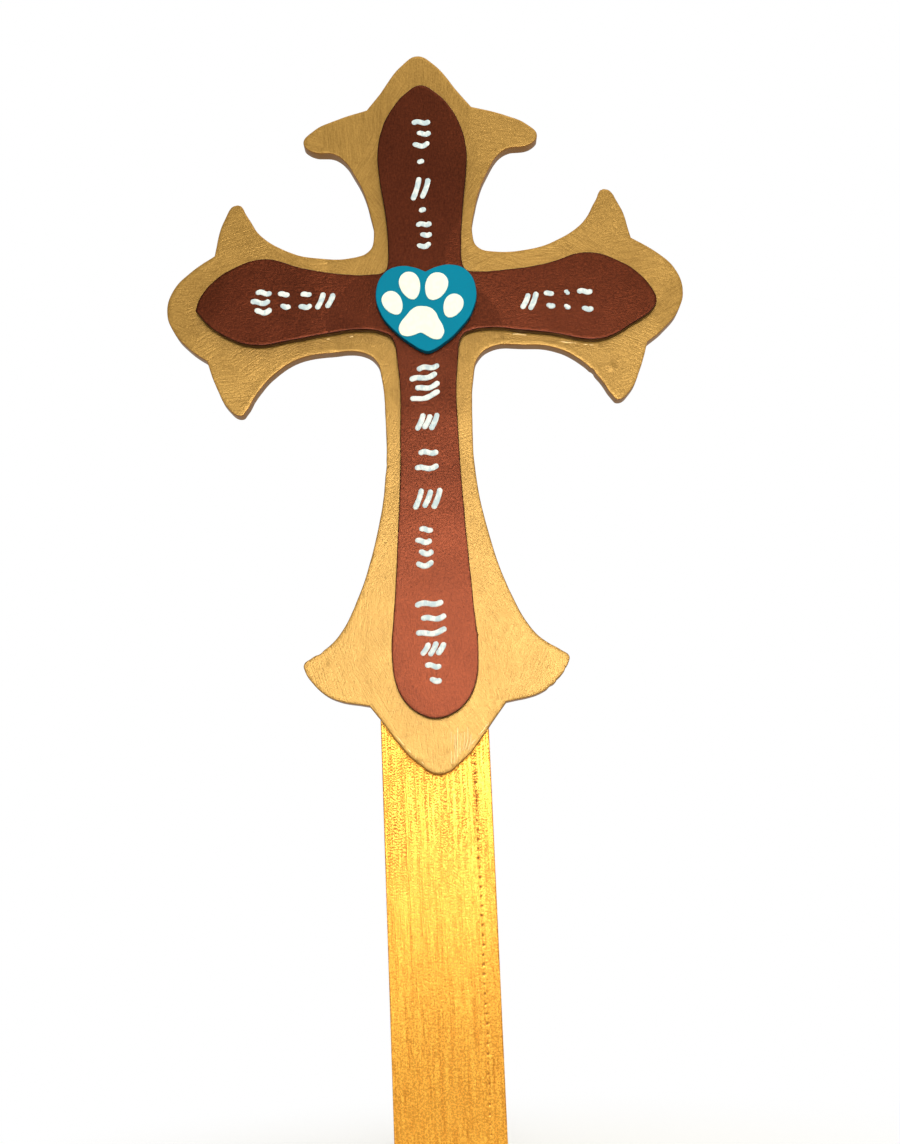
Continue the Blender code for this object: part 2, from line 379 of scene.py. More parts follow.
@dataclass
class Slab:
    """A flat board or film with rounded edges and a shallow relief on its front.

    The mesh carries two attributes for its finish: rim is 1 along the rounded edges and fades over the
    faces, and wall is 1 on the cut sides and 0 on the faces.
    """

    name: str
    outline: Outline
    front: float
    thickness: float
    arris: float
    grid: float
    back_grid: float
    relief: Relief
    arris_steps: int = 4
    wall_steps: int = 3
    rim_fade: float = 0.3 * MM
    rim_on_face: float = 0.6
    rim_on_wall: float = 0.45
    saw_marks: float = 0.03 * MM
    saw_pitch: float = 2.3 * MM
    saw_seed: int = 5
    ring_shift: float = 7.3

    def rings(self) -> list[Triple]:
        """The rings of points round the edge, from the front face to the back one.

        Returns:
            Each ring's inset, its depth behind the front and its share of the wall.
        """
        rounding = []
        for step in range(self.arris_steps + 1):
            turn = math.pi / 2 * step / self.arris_steps
            share = math.sin(turn)
            rounding.append((self.arris * (1 - share), self.arris * (1 - math.cos(turn)), share))
        straight = self.thickness - 2 * self.arris
        steps = range(1, self.wall_steps)
        wall = [(0.0, self.arris + straight * step / self.wall_steps, 1.0) for step in steps]
        back = [(inset, self.thickness - depth, share) for inset, depth, share in reversed(rounding)]
        return [*rounding, *wall, *back]

    def build(self) -> bpy.types.Object:
        """Makes the slab as one closed mesh.

        Returns:
            The object, at the origin, with its place in its mesh.
        """
        rings = self.rings()
        count = len(self.outline.points)
        lift_at_rim = self.relief(*self.outline.points.T, np.zeros(count))
        places, rim, wall = [], [], []
        for index, (inset, depth, share) in enumerate(rings):
            flat = self.outline.inset(inset)
            shift = self.ring_shift * index
            marks = value_noise(*flat.T, self.saw_pitch, self.saw_pitch, self.saw_seed, shift)
            flat = flat - self.outline.normals() * (self.saw_marks * marks * share)[:, None]
            lift = lift_at_rim * max(0.0, 1 - depth / self.arris)
            places.append(np.column_stack([flat[:, 0], self.front + depth - lift, flat[:, 1]]))
            on_rim = self.rim_on_face + (1 - self.rim_on_face) * share
            rim.append(np.full(count, self.rim_on_wall if share == 1.0 else on_rim))
            wall.append(np.full(count, share))
        faces = bands(count, len(rings), flip=True)
        start = count * len(rings)
        skins = ((0, self.grid, self.front), (-1, self.back_grid, self.front + self.thickness))
        for ring, grid, level in skins:
            inner, triangles = filled(self.outline.inset(rings[ring][0]), grid)
            away = self.outline.distance(*inner.T)
            lift = self.relief(*inner.T, away) * (ring == 0)
            places.append(np.column_stack([inner[:, 0], level - lift, inner[:, 1]]))
            rim.append(self.rim_on_face * np.exp(-np.maximum(away - self.arris, 0) / self.rim_fade))
            wall.append(np.zeros(len(inner)))
            first = ring % len(rings) * count
            numbers = [*range(first, first + count), *range(start, start + len(inner))]
            triangles = [tuple(numbers[corner] for corner in face) for face in triangles]
            faces += triangles if ring == 0 else [face[::-1] for face in triangles]
            start += len(inner)
        return self.as_object(faces, places, rim=rim, wall=wall)

    def as_object(
        self, faces: Faces, places: list[np.ndarray], **numbers: list[np.ndarray]
    ) -> bpy.types.Object:
        """Turns the slab's numbers into a smooth mesh object, with its faces outwards.

        Args:
            faces: the faces.
            places: the points, ring after ring.
            numbers: a number for each point, in the same parts, by attribute name.

        Returns:
            The object.
        """
        mesh = bpy.data.meshes.new(self.name)
        mesh.from_pydata([tuple(place) for place in np.concatenate(places).tolist()], [], faces)
        for label, values in numbers.items():
            attribute = mesh.attributes.new(label, "FLOAT", "POINT")
            attribute.data.foreach_set("value", np.concatenate(values).astype(np.float32))
        shape = bmesh.new()
        shape.from_mesh(mesh)
        bmesh.ops.recalc_face_normals(shape, faces=shape.faces)
        shape.to_mesh(mesh)
        shape.free()
        mesh.shade_smooth()
        return add_object(self.name, mesh)


class Graph:
    """Short calls for building a node tree, of shader or of geometry nodes."""

    def __init__(self, tree: bpy.types.NodeTree) -> None:
        """Starts on a tree."""
        self.tree = tree

    def feed(self, socket: Socket, value: object) -> None:
        """Gives an input either another node's output or a plain value.

        Args:
            socket: the input.
            value: the output or the value.
        """
        if isinstance(value, Socket):
            self.tree.links.new(value, socket)
        else:
            socket.default_value = value

    def node(self, kind: str, inputs: dict | None = None, **options: object) -> bpy.types.Node:
        """Adds a node.

        Args:
            kind: its type name in Blender.
            inputs: what its inputs get, by their name or number.
            options: its options by name.

        Returns:
            The node.
        """
        made = self.tree.nodes.new(kind)
        for name, value in options.items():
            setattr(made, name, value)
        for name, value in (inputs or {}).items():
            self.feed(made.inputs[name], value)
        return made

    def math(self, operation: str, *values: object, clamp: bool = False) -> Socket:
        """One arithmetic step on numbers, whose result clamp keeps from 0 to 1."""
        made = self.node("ShaderNodeMath", dict(enumerate(values)), operation=operation, use_clamp=clamp)
        return made.outputs[0]

    def times(self, product: object, *factors: object) -> object:
        """The product of all its numbers.

        Args:
            product: the first number.
            factors: the others.

        Returns:
            The product.
        """
        for factor in factors:
            product = self.math("MULTIPLY", product, factor)
        return product

    def less(self, value: object, other: object) -> Socket:
        """A number less another."""
        return self.math("SUBTRACT", value, other)

    def sway(self, pattern: Socket, amount: object, base: object) -> Socket:
        """A base plus a pattern's distance from a half, times an amount."""
        return self.math("MULTIPLY_ADD", self.less(pattern, 0.5), amount, base)

    def ramp(self, value: Socket, low: float, high: float, start: float = 0.0, end: float = 1.0) -> Socket:
        """Takes a number from one range to another, eased in and out and held at both ends.

        Args:
            value: the number.
            low: the value that becomes start.
            high: the value that becomes end.
            start: the result at low.
            end: the result at high.

        Returns:
            The result.
        """
        inputs = {"Value": value, "From Min": low, "From Max": high, "To Min": start, "To Max": end}
        return self.node("ShaderNodeMapRange", inputs, interpolation_type="SMOOTHSTEP").outputs["Result"]

    def vector(self, operation: str, first: object, second: object) -> Socket:
        """One arithmetic step on two vectors."""
        return self.node("ShaderNodeVectorMath", {0: first, 1: second}, operation=operation).outputs[0]

    def split(self, vector: Socket) -> list[Socket]:
        """A vector's x, y and z."""
        return list(self.node("ShaderNodeSeparateXYZ", {0: vector}).outputs)

    def joined(self, **parts: object) -> Socket:
        """A vector from its parts X, Y and Z, where one left out is 0."""
        return self.node("ShaderNodeCombineXYZ", parts).outputs[0]

    def noise(
        self, vector: Socket, size: float, detail: float, rough: float = 0.5, output: str = "Fac"
    ) -> Socket:
        """A noise pattern.

        Args:
            vector: where it is read.
            size: a lump's size.
            detail: how many finer layers it has.
            rough: how strong the finer layers are.
            output: Fac for one value, or Color for three.

        Returns:
            The pattern, from 0 to 1.
        """
        inputs = {"Vector": vector, "Scale": 1 / size, "Detail": detail, "Roughness": rough}
        return self.node("ShaderNodeTexNoise", inputs).outputs[output]

    def streaks(self, vector: Socket, size: Pair, detail: float, rough: float = 0.5) -> Socket:
        """A noise pattern whose lumps have a size across and another one upwards."""
        stretched = self.vector("MULTIPLY", vector, (1 / size[0], 1 / size[0], 1 / size[1]))
        return self.noise(stretched, 1.0, detail, rough)

    def mixed_shader(self, share: object, first: Socket, second: Socket) -> Socket:
        """Two shaders mixed, with this share of the second."""
        return self.node("ShaderNodeMixShader", {0: share, 1: first, 2: second}).outputs[0]

    def for_camera(self) -> Socket:
        """1 where the floor or the surround is seen as such, and 0 where it lights."""
        return self.node("ShaderNodeLightPath").outputs["Is Camera Ray"]


class ShaderGraph(Graph):
    """A material's nodes, with its own short calls for colour and bump."""

    def __init__(self, name: str) -> None:
        """Makes a new material with a plain shader.

        Args:
            name: the material's name.
        """
        self.material = bpy.data.materials.new(name)
        self.material.use_nodes = True
        super().__init__(self.material.node_tree)
        self.shader = self.tree.nodes["Principled BSDF"]
        self.place = self.node("ShaderNodeTexCoord").outputs["Object"]

    def attribute(self, name: str) -> Socket:
        """A number that the mesh carries."""
        return self.node("ShaderNodeAttribute", attribute_name=name).outputs["Fac"]

    def warped(self, size: float, by: float, detail: float) -> Socket:
        """The place, moved about by a slow drift of this size that reaches this far."""
        drift = self.noise(self.place, size, detail, output="Color")
        return self.vector("ADD", self.place, self.vector("MULTIPLY", drift, (by,) * 3))

    def blend(self, share: object, first: object, second: object) -> Socket:
        """Mixes two colours.

        Args:
            share: how much of the second there is.
            first: the first colour.
            second: the second colour.

        Returns:
            The mixed colour.
        """
        made = self.node("ShaderNodeMix", data_type="RGBA")
        by_identifier = {socket.identifier: socket for socket in made.inputs}
        for identifier, given in (("Factor_Float", share), ("A_Color", first), ("B_Color", second)):
            self.feed(by_identifier[identifier], (*given, 1.0) if isinstance(given, tuple) else given)
        return next(socket for socket in made.outputs if socket.identifier == "Result_Color")

    def bump(self, height: Socket, strength: float, depth: float) -> Socket:
        """A normal bent by a height from 0 to 1, where 1 is this deep in metres."""
        inputs = {"Strength": strength, "Distance": depth, "Height": height}
        return self.node("ShaderNodeBump", inputs).outputs["Normal"]

    def finished(self, shown: Triple, inputs: dict[str, object]) -> bpy.types.Material:
        """Sets the shader's inputs.

        Args:
            shown: the material's colour in a plain view.
            inputs: what the shader's inputs get, by name.

        Returns:
            The material.
        """
        for name, value in inputs.items():
            self.feed(self.shader.inputs[name], value)
        self.material.diffuse_color = (*shown, 1.0)
        return self.material


@dataclass(frozen=True)
class BrushedPaint:
    """Craft paint laid on wood in short brush dabs, each with its own direction of fine streaks."""

    dark: Triple
    light: Triple
    edge: Triple
    side: Triple
    metallic: float
    smoothest: float
    roughest: float
    coat: float = 0.0
    coat_roughness: float = 0.3
    sheen: float = 0.2
    speck: float = 0.0
    speck_size: float = 0.8 * MM
    speck_from: Pair = (0.66, 0.76)
    streak_share: float = 0.22
    streak_swing: float = 3.0
    streak_gloss: float = 0.6
    blotch_share: float = 0.22
    blotch_swing: float = 2.0
    dab_swing: float = 0.6
    grain_share: float = 0.12
    grain_swing: float = 3.0
    grain_gloss: float = 0.4
    streak_width: float = 0.42 * MM
    streak_length: float = 6.0 * MM
    blotch_size: float = 19 * MM
    grain_size: float = 0.42 * MM
    dab_size: float = 15.0 * MM
    dab_height: float = 0.6
    dab_turn: float = math.radians(70)
    drift_size: float = 9 * MM
    drift: float = 5.0 * MM
    gloss_from: Pair = (0.38, 0.62)
    bump_depth: float = 0.028 * MM
    bump_strength: float = 0.8
    grain_height: float = 0.9
    wear_size: float = 1.3 * MM
    side_wear_and_shade: Pair = (0.25, 0.6)
    side_least: float = 0.75
    edge_wear_and_shade: Pair = (0.35, 0.60)
    edge_from: float = 0.80
    edge_rise: float = 0.17
    edge_least: float = 0.25
    edge_most: float = 0.97
    arms_out: float = 0.024
    arms_up: float = 0.15

    def material(self, name: str) -> bpy.types.Material:
        """Builds the finish.

        Args:
            name: the material's name.

        Returns:
            The material.
        """
        graph = ShaderGraph(name)
        streaks, dab_tone = self.dabs(graph)
        blotches = graph.noise(graph.place, self.blotch_size, 2.0)
        grains = graph.noise(graph.place, self.grain_size, 2.0, 0.6)
        # Noise stays near its middle, so its swings are above 1 for the tone to reach both colours
        tone = graph.sway(streaks, self.streak_share * self.streak_swing, 0.5)
        tone = graph.sway(blotches, self.blotch_share * self.blotch_swing, tone)
        tone = graph.sway(dab_tone, self.blotch_share * self.dab_swing, tone)
        tone = graph.sway(grains, self.grain_share * self.grain_swing, tone)
        colour = graph.blend(graph.math("ADD", tone, 0.0, clamp=True), self.dark, self.light)
        pits = graph.noise(graph.place, self.speck_size, 1.0)
        specks = graph.ramp(pits, *self.speck_from, 0.0, self.speck)
        colour = self.worn_and_shaded(graph, graph.blend(specks, colour, self.edge))
        grain_part = graph.times(grains, self.grain_gloss)
        mixed = graph.math("MULTIPLY_ADD", streaks, self.streak_gloss, grain_part)
        height = graph.math("MULTIPLY_ADD", grains, self.grain_height, streaks)
        return graph.finished(self.light, {
            "Base Color": colour,
            "Metallic": self.metallic,
            "Specular IOR Level": self.sheen,
            "Coat Weight": self.coat,
            "Coat Roughness": self.coat_roughness,
            "Roughness": graph.ramp(mixed, *self.gloss_from, self.smoothest, self.roughest),
            "Normal": graph.bump(height, self.bump_strength, self.bump_depth),
        })

    def dabs(self, graph: ShaderGraph) -> tuple[Socket, Socket]:
        """Brush dabs, about upright on the shaft and about level on the side arms.

        Args:
            graph: the material's nodes.

        Returns:
            The streaks, and the tone of each dab, both from 0 to 1.
        """
        warped = graph.warped(self.drift_size, self.drift, 1.5)
        patches = graph.node("ShaderNodeTexVoronoi", {
            "Vector": graph.vector("MULTIPLY", warped, (1.0, 1.0, self.dab_height)),
            "Scale": 1 / self.dab_size,
        })
        random, dab_tone, _ = graph.split(patches.outputs["Color"])
        middle_x, _, middle_z = graph.split(patches.outputs["Position"])
        out = graph.math("GREATER_THAN", graph.math("ABSOLUTE", middle_x), self.arms_out)
        high = graph.math("GREATER_THAN", middle_z, self.arms_up)
        angle = graph.sway(random, self.dab_turn, graph.times(out, high, math.pi / 2))
        inputs = {"Vector": graph.place, "Angle": angle}
        brushed = graph.node("ShaderNodeVectorRotate", inputs, rotation_type="Y_AXIS").outputs[0]
        return graph.streaks(brushed, (self.streak_width, self.streak_length), 2.5, 0.6), dab_tone

    def worn_and_shaded(self, graph: ShaderGraph, colour: Socket) -> Socket:
        """Lays the edge colour along the rounded edge and darkens the cut sides: partly wood showing where
        the paint is thin, partly painted shade.

        Args:
            graph: the material's nodes.
            colour: the paint's colour.

        Returns:
            The colour with its edges.
        """
        patches = graph.noise(graph.place, self.wear_size, 2.0)
        worn_and_shaded_sides = graph.ramp(patches, *self.side_wear_and_shade, self.side_least, 1.0)
        # Cut sides: patches of the darker side colour, partly wood under thin paint and partly painted shade
        colour = graph.blend(graph.times(graph.attribute("wall"), worn_and_shaded_sides), colour, self.side)
        # Edge line: wood showing through thin paint on the gold, painted shade on the red board and the
        # heart
        line = graph.ramp(graph.attribute("rim"), self.edge_from, self.edge_from + self.edge_rise)
        line = graph.times(line, graph.ramp(patches, *self.edge_wear_and_shade, self.edge_least, self.edge_most))
        return graph.blend(line, colour, self.edge)


@dataclass(frozen=True)
class ThickPaint:
    """White craft paint laid on thick, a little see-through where it thins out."""

    thin: Triple
    thick: Triple
    roughness: float = 0.5
    sheen: float = 0.25
    cloud_size: float = 2.2 * MM
    ridge_size: Pair = (0.5 * MM, 2.2 * MM)
    ridge_cover: float = 0.4
    covers_from: Pair = (0.55, 0.85)
    bump_depth: float = 0.05 * MM
    bump_strength: float = 0.5

    def material(self, name: str) -> bpy.types.Material:
        """Builds the finish.

        Args:
            name: the material's name.

        Returns:
            The material.
        """
        graph = ShaderGraph(name)
        cloud = graph.noise(graph.place, self.cloud_size, 1.5)
        ridges = graph.streaks(graph.place, self.ridge_size, 1.0)
        cover = graph.ramp(graph.math("MULTIPLY_ADD", ridges, self.ridge_cover, cloud), *self.covers_from)
        return graph.finished(self.thick, {
            "Base Color": graph.blend(cover, self.thin, self.thick),
            "Roughness": self.roughness,
            "Specular IOR Level": self.sheen,
            "Normal": graph.bump(ridges, self.bump_strength, self.bump_depth),
        })


@dataclass(frozen=True)
class StakePaint:
    """Bright gold paint over planed softwood: upright grain, with a planer's level ticks over its lines.

    It reads the attribute dot, which is 1 in the pin dots. Sizes in pairs are across and along the stake.
    """

    groove: Triple
    ridge: Triple
    tick: Triple
    dot: Triple
    metallic: float = 0.5
    sheen: float = 0.2
    smoothest: float = 0.20
    roughest: float = 0.32
    gloss_from: Pair = (0.35, 0.65)
    bump_depth: float = 0.10 * MM
    bump_strength: float = 0.8
    drift_size: float = 45 * MM
    drift: float = 2.4 * MM
    tone: float = 0.55
    line_size: Pair = (0.9 * MM, 40 * MM)
    line_tone: float = 1.9
    hair_size: Pair = (0.45 * MM, 7 * MM)
    hair_tone: float = 1.6
    hair_height: float = 0.8
    grain_size: float = 0.7 * MM
    grain_tone: float = 1.0
    grain_height: float = 0.5
    tick_size: Pair = (1.1 * MM, 0.40 * MM)
    tick_stray: Pair = (1.7 * MM, 8 * MM)
    tick_column: Pair = (1.1 * MM, 50 * MM)
    tick_pitch: float = 1.0 * MM
    tick_bends: float = 5.0
    tick_thickness: Pair = (0.10, 0.34)
    tick_dashes: Pair = (0.38, 0.58)
    tick_columns: Pair = (0.38, 0.50)
    tick_cover: float = 0.95
    tick_dull: float = 0.15
    tick_height: float = -0.5
    tick_from: float = 0.085
    tick_full: float = 0.135
    tick_least: float = 0.15

    def material(self, name: str) -> bpy.types.Material:
        """Builds the finish.

        Args:
            name: the material's name.

        Returns:
            The material.
        """
        graph = ShaderGraph(name)
        warped = graph.warped(self.drift_size, self.drift, 1.0)
        lines = graph.streaks(warped, self.line_size, 3.0, 0.6)
        hairs = graph.streaks(warped, self.hair_size, 2.0, 0.6)
        grains = graph.noise(graph.place, self.grain_size, 2.0, 0.7)
        tone = graph.sway(lines, self.line_tone, self.tone)
        tone = graph.sway(grains, self.grain_tone, graph.sway(hairs, self.hair_tone, tone))
        colour = graph.blend(graph.math("ADD", tone, 0.0, clamp=True), self.groove, self.ridge)
        ticks = self.ticks(graph, warped)
        colour = graph.blend(graph.times(ticks, self.tick_cover), colour, self.tick)
        height = graph.math("MULTIPLY_ADD", hairs, self.hair_height, lines)
        height = graph.math("MULTIPLY_ADD", grains, self.grain_height, height)
        height = graph.math("MULTIPLY_ADD", ticks, self.tick_height, height)
        roughness = graph.ramp(grains, *self.gloss_from, self.smoothest, self.roughest)
        return graph.finished(self.ridge, {
            "Base Color": graph.blend(graph.attribute("dot"), colour, self.dot),
            "Metallic": self.metallic,
            "Specular IOR Level": self.sheen,
            "Roughness": graph.math("MULTIPLY_ADD", ticks, self.tick_dull, roughness),
            "Normal": graph.bump(height, self.bump_strength, self.bump_depth),
        })

    def ticks(self, graph: ShaderGraph, warped: Socket) -> Socket:
        """The planer's short level ticks, in upright columns that fade out down the stake.

        Args:
            graph: the material's nodes.
            warped: the place, with the grain's drift.

        Returns:
            The ticks, from 0 to 1.
        """
        rise = graph.split(graph.place)[2]
        stray = graph.streaks(warped, self.tick_stray, 1.0)
        pitches = graph.math("DIVIDE", rise, self.tick_pitch)
        count = graph.math("MULTIPLY_ADD", stray, self.tick_bends, pitches)
        off_line = graph.math("ABSOLUTE", graph.less(graph.math("FRACT", count), 0.5))
        lines = graph.ramp(off_line, *self.tick_thickness, 1.0, 0.0)
        dashes = graph.ramp(graph.streaks(warped, self.tick_size, 1.0), *self.tick_dashes)
        columns = graph.ramp(graph.streaks(warped, self.tick_column, 1.0), *self.tick_columns)
        fade = graph.ramp(rise, self.tick_from, self.tick_full, self.tick_least, 1.0)
        return graph.times(lines, dashes, columns, fade)


class Finish(Enum):
    """The finishes on this cross."""

    BOARD_GOLD = "gold_board_paint"
    STAKE_GOLD = "gold_stake_paint"
    RED_BROWN = "red_brown_paint"
    TEAL = "teal_paint"
    WHITE = "white_paint"
    WHITE_THIN = "white_paint_thin"
    # A lighter copy of the board gold: a painted highlight on the raised ridges
    THICK_HIGHLIT_GOLD = "gold_board_paint_thick"

    @property
    def slot(self) -> str:
        """The record's slot: thin white and thick gold are the same paints as white and board gold."""
        return self.value.removesuffix("_thin").removesuffix("_thick")


PAINTS = {
    Finish.BOARD_GOLD: BrushedPaint(
        dark=(0.235, 0.122, 0.020),
        light=(0.450, 0.252, 0.053),
        edge=(0.28, 0.080, 0.018),
        # The darker brown of the cut sides is partly wood under thin paint and partly painted shade
        side=(0.34, 0.150, 0.028),
        metallic=0.42,
        smoothest=0.28,
        roughest=0.365,
        coat=0.03,
        speck=0.04,
        streak_share=0.32,
        grain_share=0.24,
        grain_size=0.8 * MM,
        bump_depth=0.078 * MM,
        streak_width=0.36 * MM,
    ),
    Finish.STAKE_GOLD: StakePaint(
        groove=(0.50, 0.192, 0.014),
        ridge=(0.79, 0.375, 0.044),
        tick=(0.33, 0.098, 0.010),
        dot=(0.25, 0.062, 0.014),
    ),
    Finish.RED_BROWN: BrushedPaint(
        dark=(0.049, 0.0086, 0.0018),
        light=(0.109, 0.0222, 0.0064),
        # The near-black edge colour, laid over the whole rounded edge, is painted shade along the board's
        # edge line
        edge=(0.030, 0.006, 0.003),
        side=(0.055, 0.011, 0.006),
        metallic=0.86,
        smoothest=0.28,
        roughest=0.318,
        coat=0.05,
        speck=0.03,
        streak_share=0.32,
        grain_share=0.42,
        grain_size=0.9 * MM,
        bump_depth=0.065 * MM,
        dab_turn=math.radians(20),
        streak_width=0.33 * MM,
        streak_length=2.2 * MM,
        edge_from=0.45,
        edge_least=0.85,
    ),
    Finish.TEAL: BrushedPaint(
        dark=(0.0, 0.170, 0.250),
        light=(0.0, 0.230, 0.330),
        # The dark teal of the edge and cut sides is painted shade; the heart is teal all over
        edge=(0.0, 0.06, 0.10),
        side=(0.0, 0.065, 0.10),
        metallic=0.0,
        smoothest=0.45,
        roughest=0.60,
        sheen=0.05,
        streak_share=0.15,
        bump_depth=0.02 * MM,
    ),
    # Lighter than the board gold: a painted highlight on the raised ridges
    Finish.THICK_HIGHLIT_GOLD: BrushedPaint(
        dark=(0.58, 0.36, 0.12),
        light=(0.76, 0.52, 0.20),
        edge=(0.50, 0.30, 0.08),
        side=(0.50, 0.30, 0.08),
        metallic=0.3,
        smoothest=0.28,
        roughest=0.40,
    ),
    Finish.WHITE: ThickPaint(thin=(0.80, 0.85, 0.70), thick=(0.87, 0.88, 0.66)),
    Finish.WHITE_THIN: ThickPaint(thin=(0.52, 0.62, 0.60), thick=(0.80, 0.83, 0.73)),
}


class Palette:
    """Makes each finish once and puts it on pieces."""

    def __init__(self) -> None:
        """Starts with no material made."""
        self.made: dict[Finish, bpy.types.Material] = {}

    def material(self, finish: Finish) -> bpy.types.Material:
        """The material of a finish, made when it is first asked for.

        Args:
            finish: the finish.

        Returns:
            Its material.
        """
        if finish not in self.made:
            self.made[finish] = PAINTS[finish].material(finish.value)
        return self.made[finish]

    def dress(self, piece: bpy.types.Object, finish: Finish, *nodes: str) -> None:
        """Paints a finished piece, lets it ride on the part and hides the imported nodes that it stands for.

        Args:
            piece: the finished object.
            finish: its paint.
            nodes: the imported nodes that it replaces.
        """
        piece.data.materials.clear()
        piece.data.materials.append(self.material(finish))
        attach(piece, "root")
        if nodes:
            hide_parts(*nodes)
        log.info("%s: %d faces, %s", piece.name, len(piece.data.polygons), finish.slot)


class GrowthGraph(Graph):
    """A geometry tree with named sizes, which is run on an object and leaves a plain mesh."""

    def __init__(self, name: str, sizes: dict[str, float]) -> None:
        """Makes the tree with its inputs and its output.

        Args:
            name: the tree's name.
            sizes: its number inputs by name, with their values.
        """
        super().__init__(bpy.data.node_groups.new(name, "GeometryNodeTree"))
        self.add_socket("Geometry", "Geometry")
        for label, value in sizes.items():
            self.add_socket(label, "Float").default_value = value
        self.add_socket("Material", "Material")
        self.add_socket("Geometry", "Geometry", "OUTPUT")
        self.given = self.node("NodeGroupInput").outputs
        self.position = self.node("GeometryNodeInputPosition").outputs[0]

    def seeded(self, lumps: object) -> Socket:
        """The position in lumps to a metre along x, y and z, moved up by the tree's seed."""
        place = self.vector("MULTIPLY", self.position, lumps)
        return self.vector("ADD", place, self.joined(Z=self.given["Seed"]))

    def add_socket(self, name: str, kind: str, way: str = "INPUT") -> bpy.types.NodeTreeInterfaceSocket:
        """Gives the tree one more input or output of a kind."""
        return self.tree.interface.new_socket(name=name, in_out=way, socket_type="NodeSocket" + kind)

    def end(self, geometry: Socket) -> None:
        """Ends the tree: real geometry, its material, and the output.

        Args:
            geometry: what the tree has made.
        """
        real = self.node("GeometryNodeRealizeInstances", {"Geometry": geometry}).outputs["Geometry"]
        inputs = {"Geometry": real, "Material": self.given["Material"]}
        painted = self.node("GeometryNodeSetMaterial", inputs)
        self.node("NodeGroupOutput", {"Geometry": painted.outputs["Geometry"]})

    def grow(self, holder: bpy.types.Object, material: bpy.types.Material, name: str) -> bpy.types.Object:
        """Runs the tree on an object and keeps the result as a plain mesh.

        Args:
            holder: the object that the tree works on, which is removed.
            material: what its Material input gets.
            name: the new object's name.

        Returns:
            The plain mesh's object, at the origin.
        """
        modifier = holder.modifiers.new("growth", "NODES")
        modifier.node_group = self.tree
        for item in self.tree.interface.items_tree:
            if item.in_out == "INPUT" and item.socket_type != "NodeSocketGeometry":
                modifier[item.identifier] = material if item.name == "Material" else item.default_value
        evaluated = holder.evaluated_get(bpy.context.evaluated_depsgraph_get())
        mesh = bpy.data.meshes.new_from_object(evaluated)
        bpy.data.objects.remove(holder)
        mesh.name = name
        mesh.shade_smooth()
        return add_object(name, mesh)


@dataclass
class CutBoard:
    """A board cut out by hand, with its paint's relief: slow swells, brush marks, a ridge along its edge."""

    node: str
    name: str
    finish: Finish
    packed_arris: float
    arris: float
    front: float
    thickness: float
    step: float = 0.8 * MM
    grid: float = 0.95 * MM
    back_grid: float = 2.6 * MM
    grow: float = 0.0
    wander: float = 0.10 * MM
    swell: float = 0.045 * MM
    swell_size: float = 13 * MM
    brush_size: Pair = (4.2 * MM, 6.5 * MM)
    brush_share: float = 0.5
    ridge: float = 0.05 * MM
    ridge_from_edge: float = 1.1 * MM
    ridge_width: float = 0.7 * MM
    bead_size: float = 1.9 * MM
    bead_level: float = 0.55
    bead_swing: float = 0.45
    seed: int = 1
    nicks: tuple[Spot, ...] = ()
    lumps: tuple[Spot, ...] = ()

    def relief(self, x: np.ndarray, z: np.ndarray, away: np.ndarray) -> np.ndarray:
        """How far the painted face stands proud.

        Args:
            x: the points' x.
            z: the points' z.
            away: how far each is from the board's edge.

        Returns:
            The height of each point over the flat face.
        """
        height = self.swell * value_noise(x, z, self.swell_size, self.swell_size, self.seed)
        height += self.brush_share * self.swell * value_noise(x, z, *self.brush_size, self.seed + 1)
        beads = value_noise(x, z, self.bead_size, self.bead_size, self.seed + 2)
        beads = self.bead_level + self.bead_swing * beads
        height += self.ridge * beads * np.exp(-(((away - self.ridge_from_edge) / self.ridge_width) ** 2))
        for lump in self.lumps:
            height += lump.reach(x, z)
        return height

    def build(self, palette: Palette) -> None:
        """Makes and paints the board.

        Args:
            palette: the finishes.
        """
        outline = Outline.of_node(self.node, self.packed_arris).smoothed(self.step)
        outline = Outline(outline.inset(-self.grow)).cut_by_hand(self.nicks, self.wander, self.seed + 10)
        slab = Slab(
            self.name,
            outline,
            self.front,
            self.thickness,
            self.arris,
            self.grid,
            self.back_grid,
            self.relief,
        )
        palette.dress(slab.build(), self.finish, self.node)


@dataclass
class GoldBoard(CutBoard):
    """The larger, outer board, with the saw's nicks and a few beads and dents in its paint."""

    node: str = "outer_cross"
    name: str = "outer_cross_board"
    finish: Finish = Finish.BOARD_GOLD
    packed_arris: float = 0.7 * MM
    arris: float = 0.28 * MM
    front: float = -10.25 * MM
    thickness: float = 5.2 * MM
    nicks: tuple[Spot, ...] = spots(
        (-15.3, -59.2, 1.6, 0.45), (-40.8, -126.4, 2.2, 0.4), (59.9, -25.7, 1.6, 0.5),
        (45.2, -134.0, 1.3, 0.3), (42.3, -138.0, 1.1, 0.3), (39.7, -140.6, 1.4, 0.35),
        (28.0, 24.0, 1.2, 0.25), (33.5, 25.0, 1.0, 0.25),
    )
    lumps: tuple[Spot, ...] = spots(
        (67.3, -24.4, 1.7, 0.20), (-39.2, -129.5, 1.6, -0.12), (62.3, -15.6, 1.5, 0.1),
        (26.0, -9.9, 1.4, 0.12), (3.0, -160.5, 2.2, 0.08), (-6.5, -163.8, 1.6, 0.12),
    )


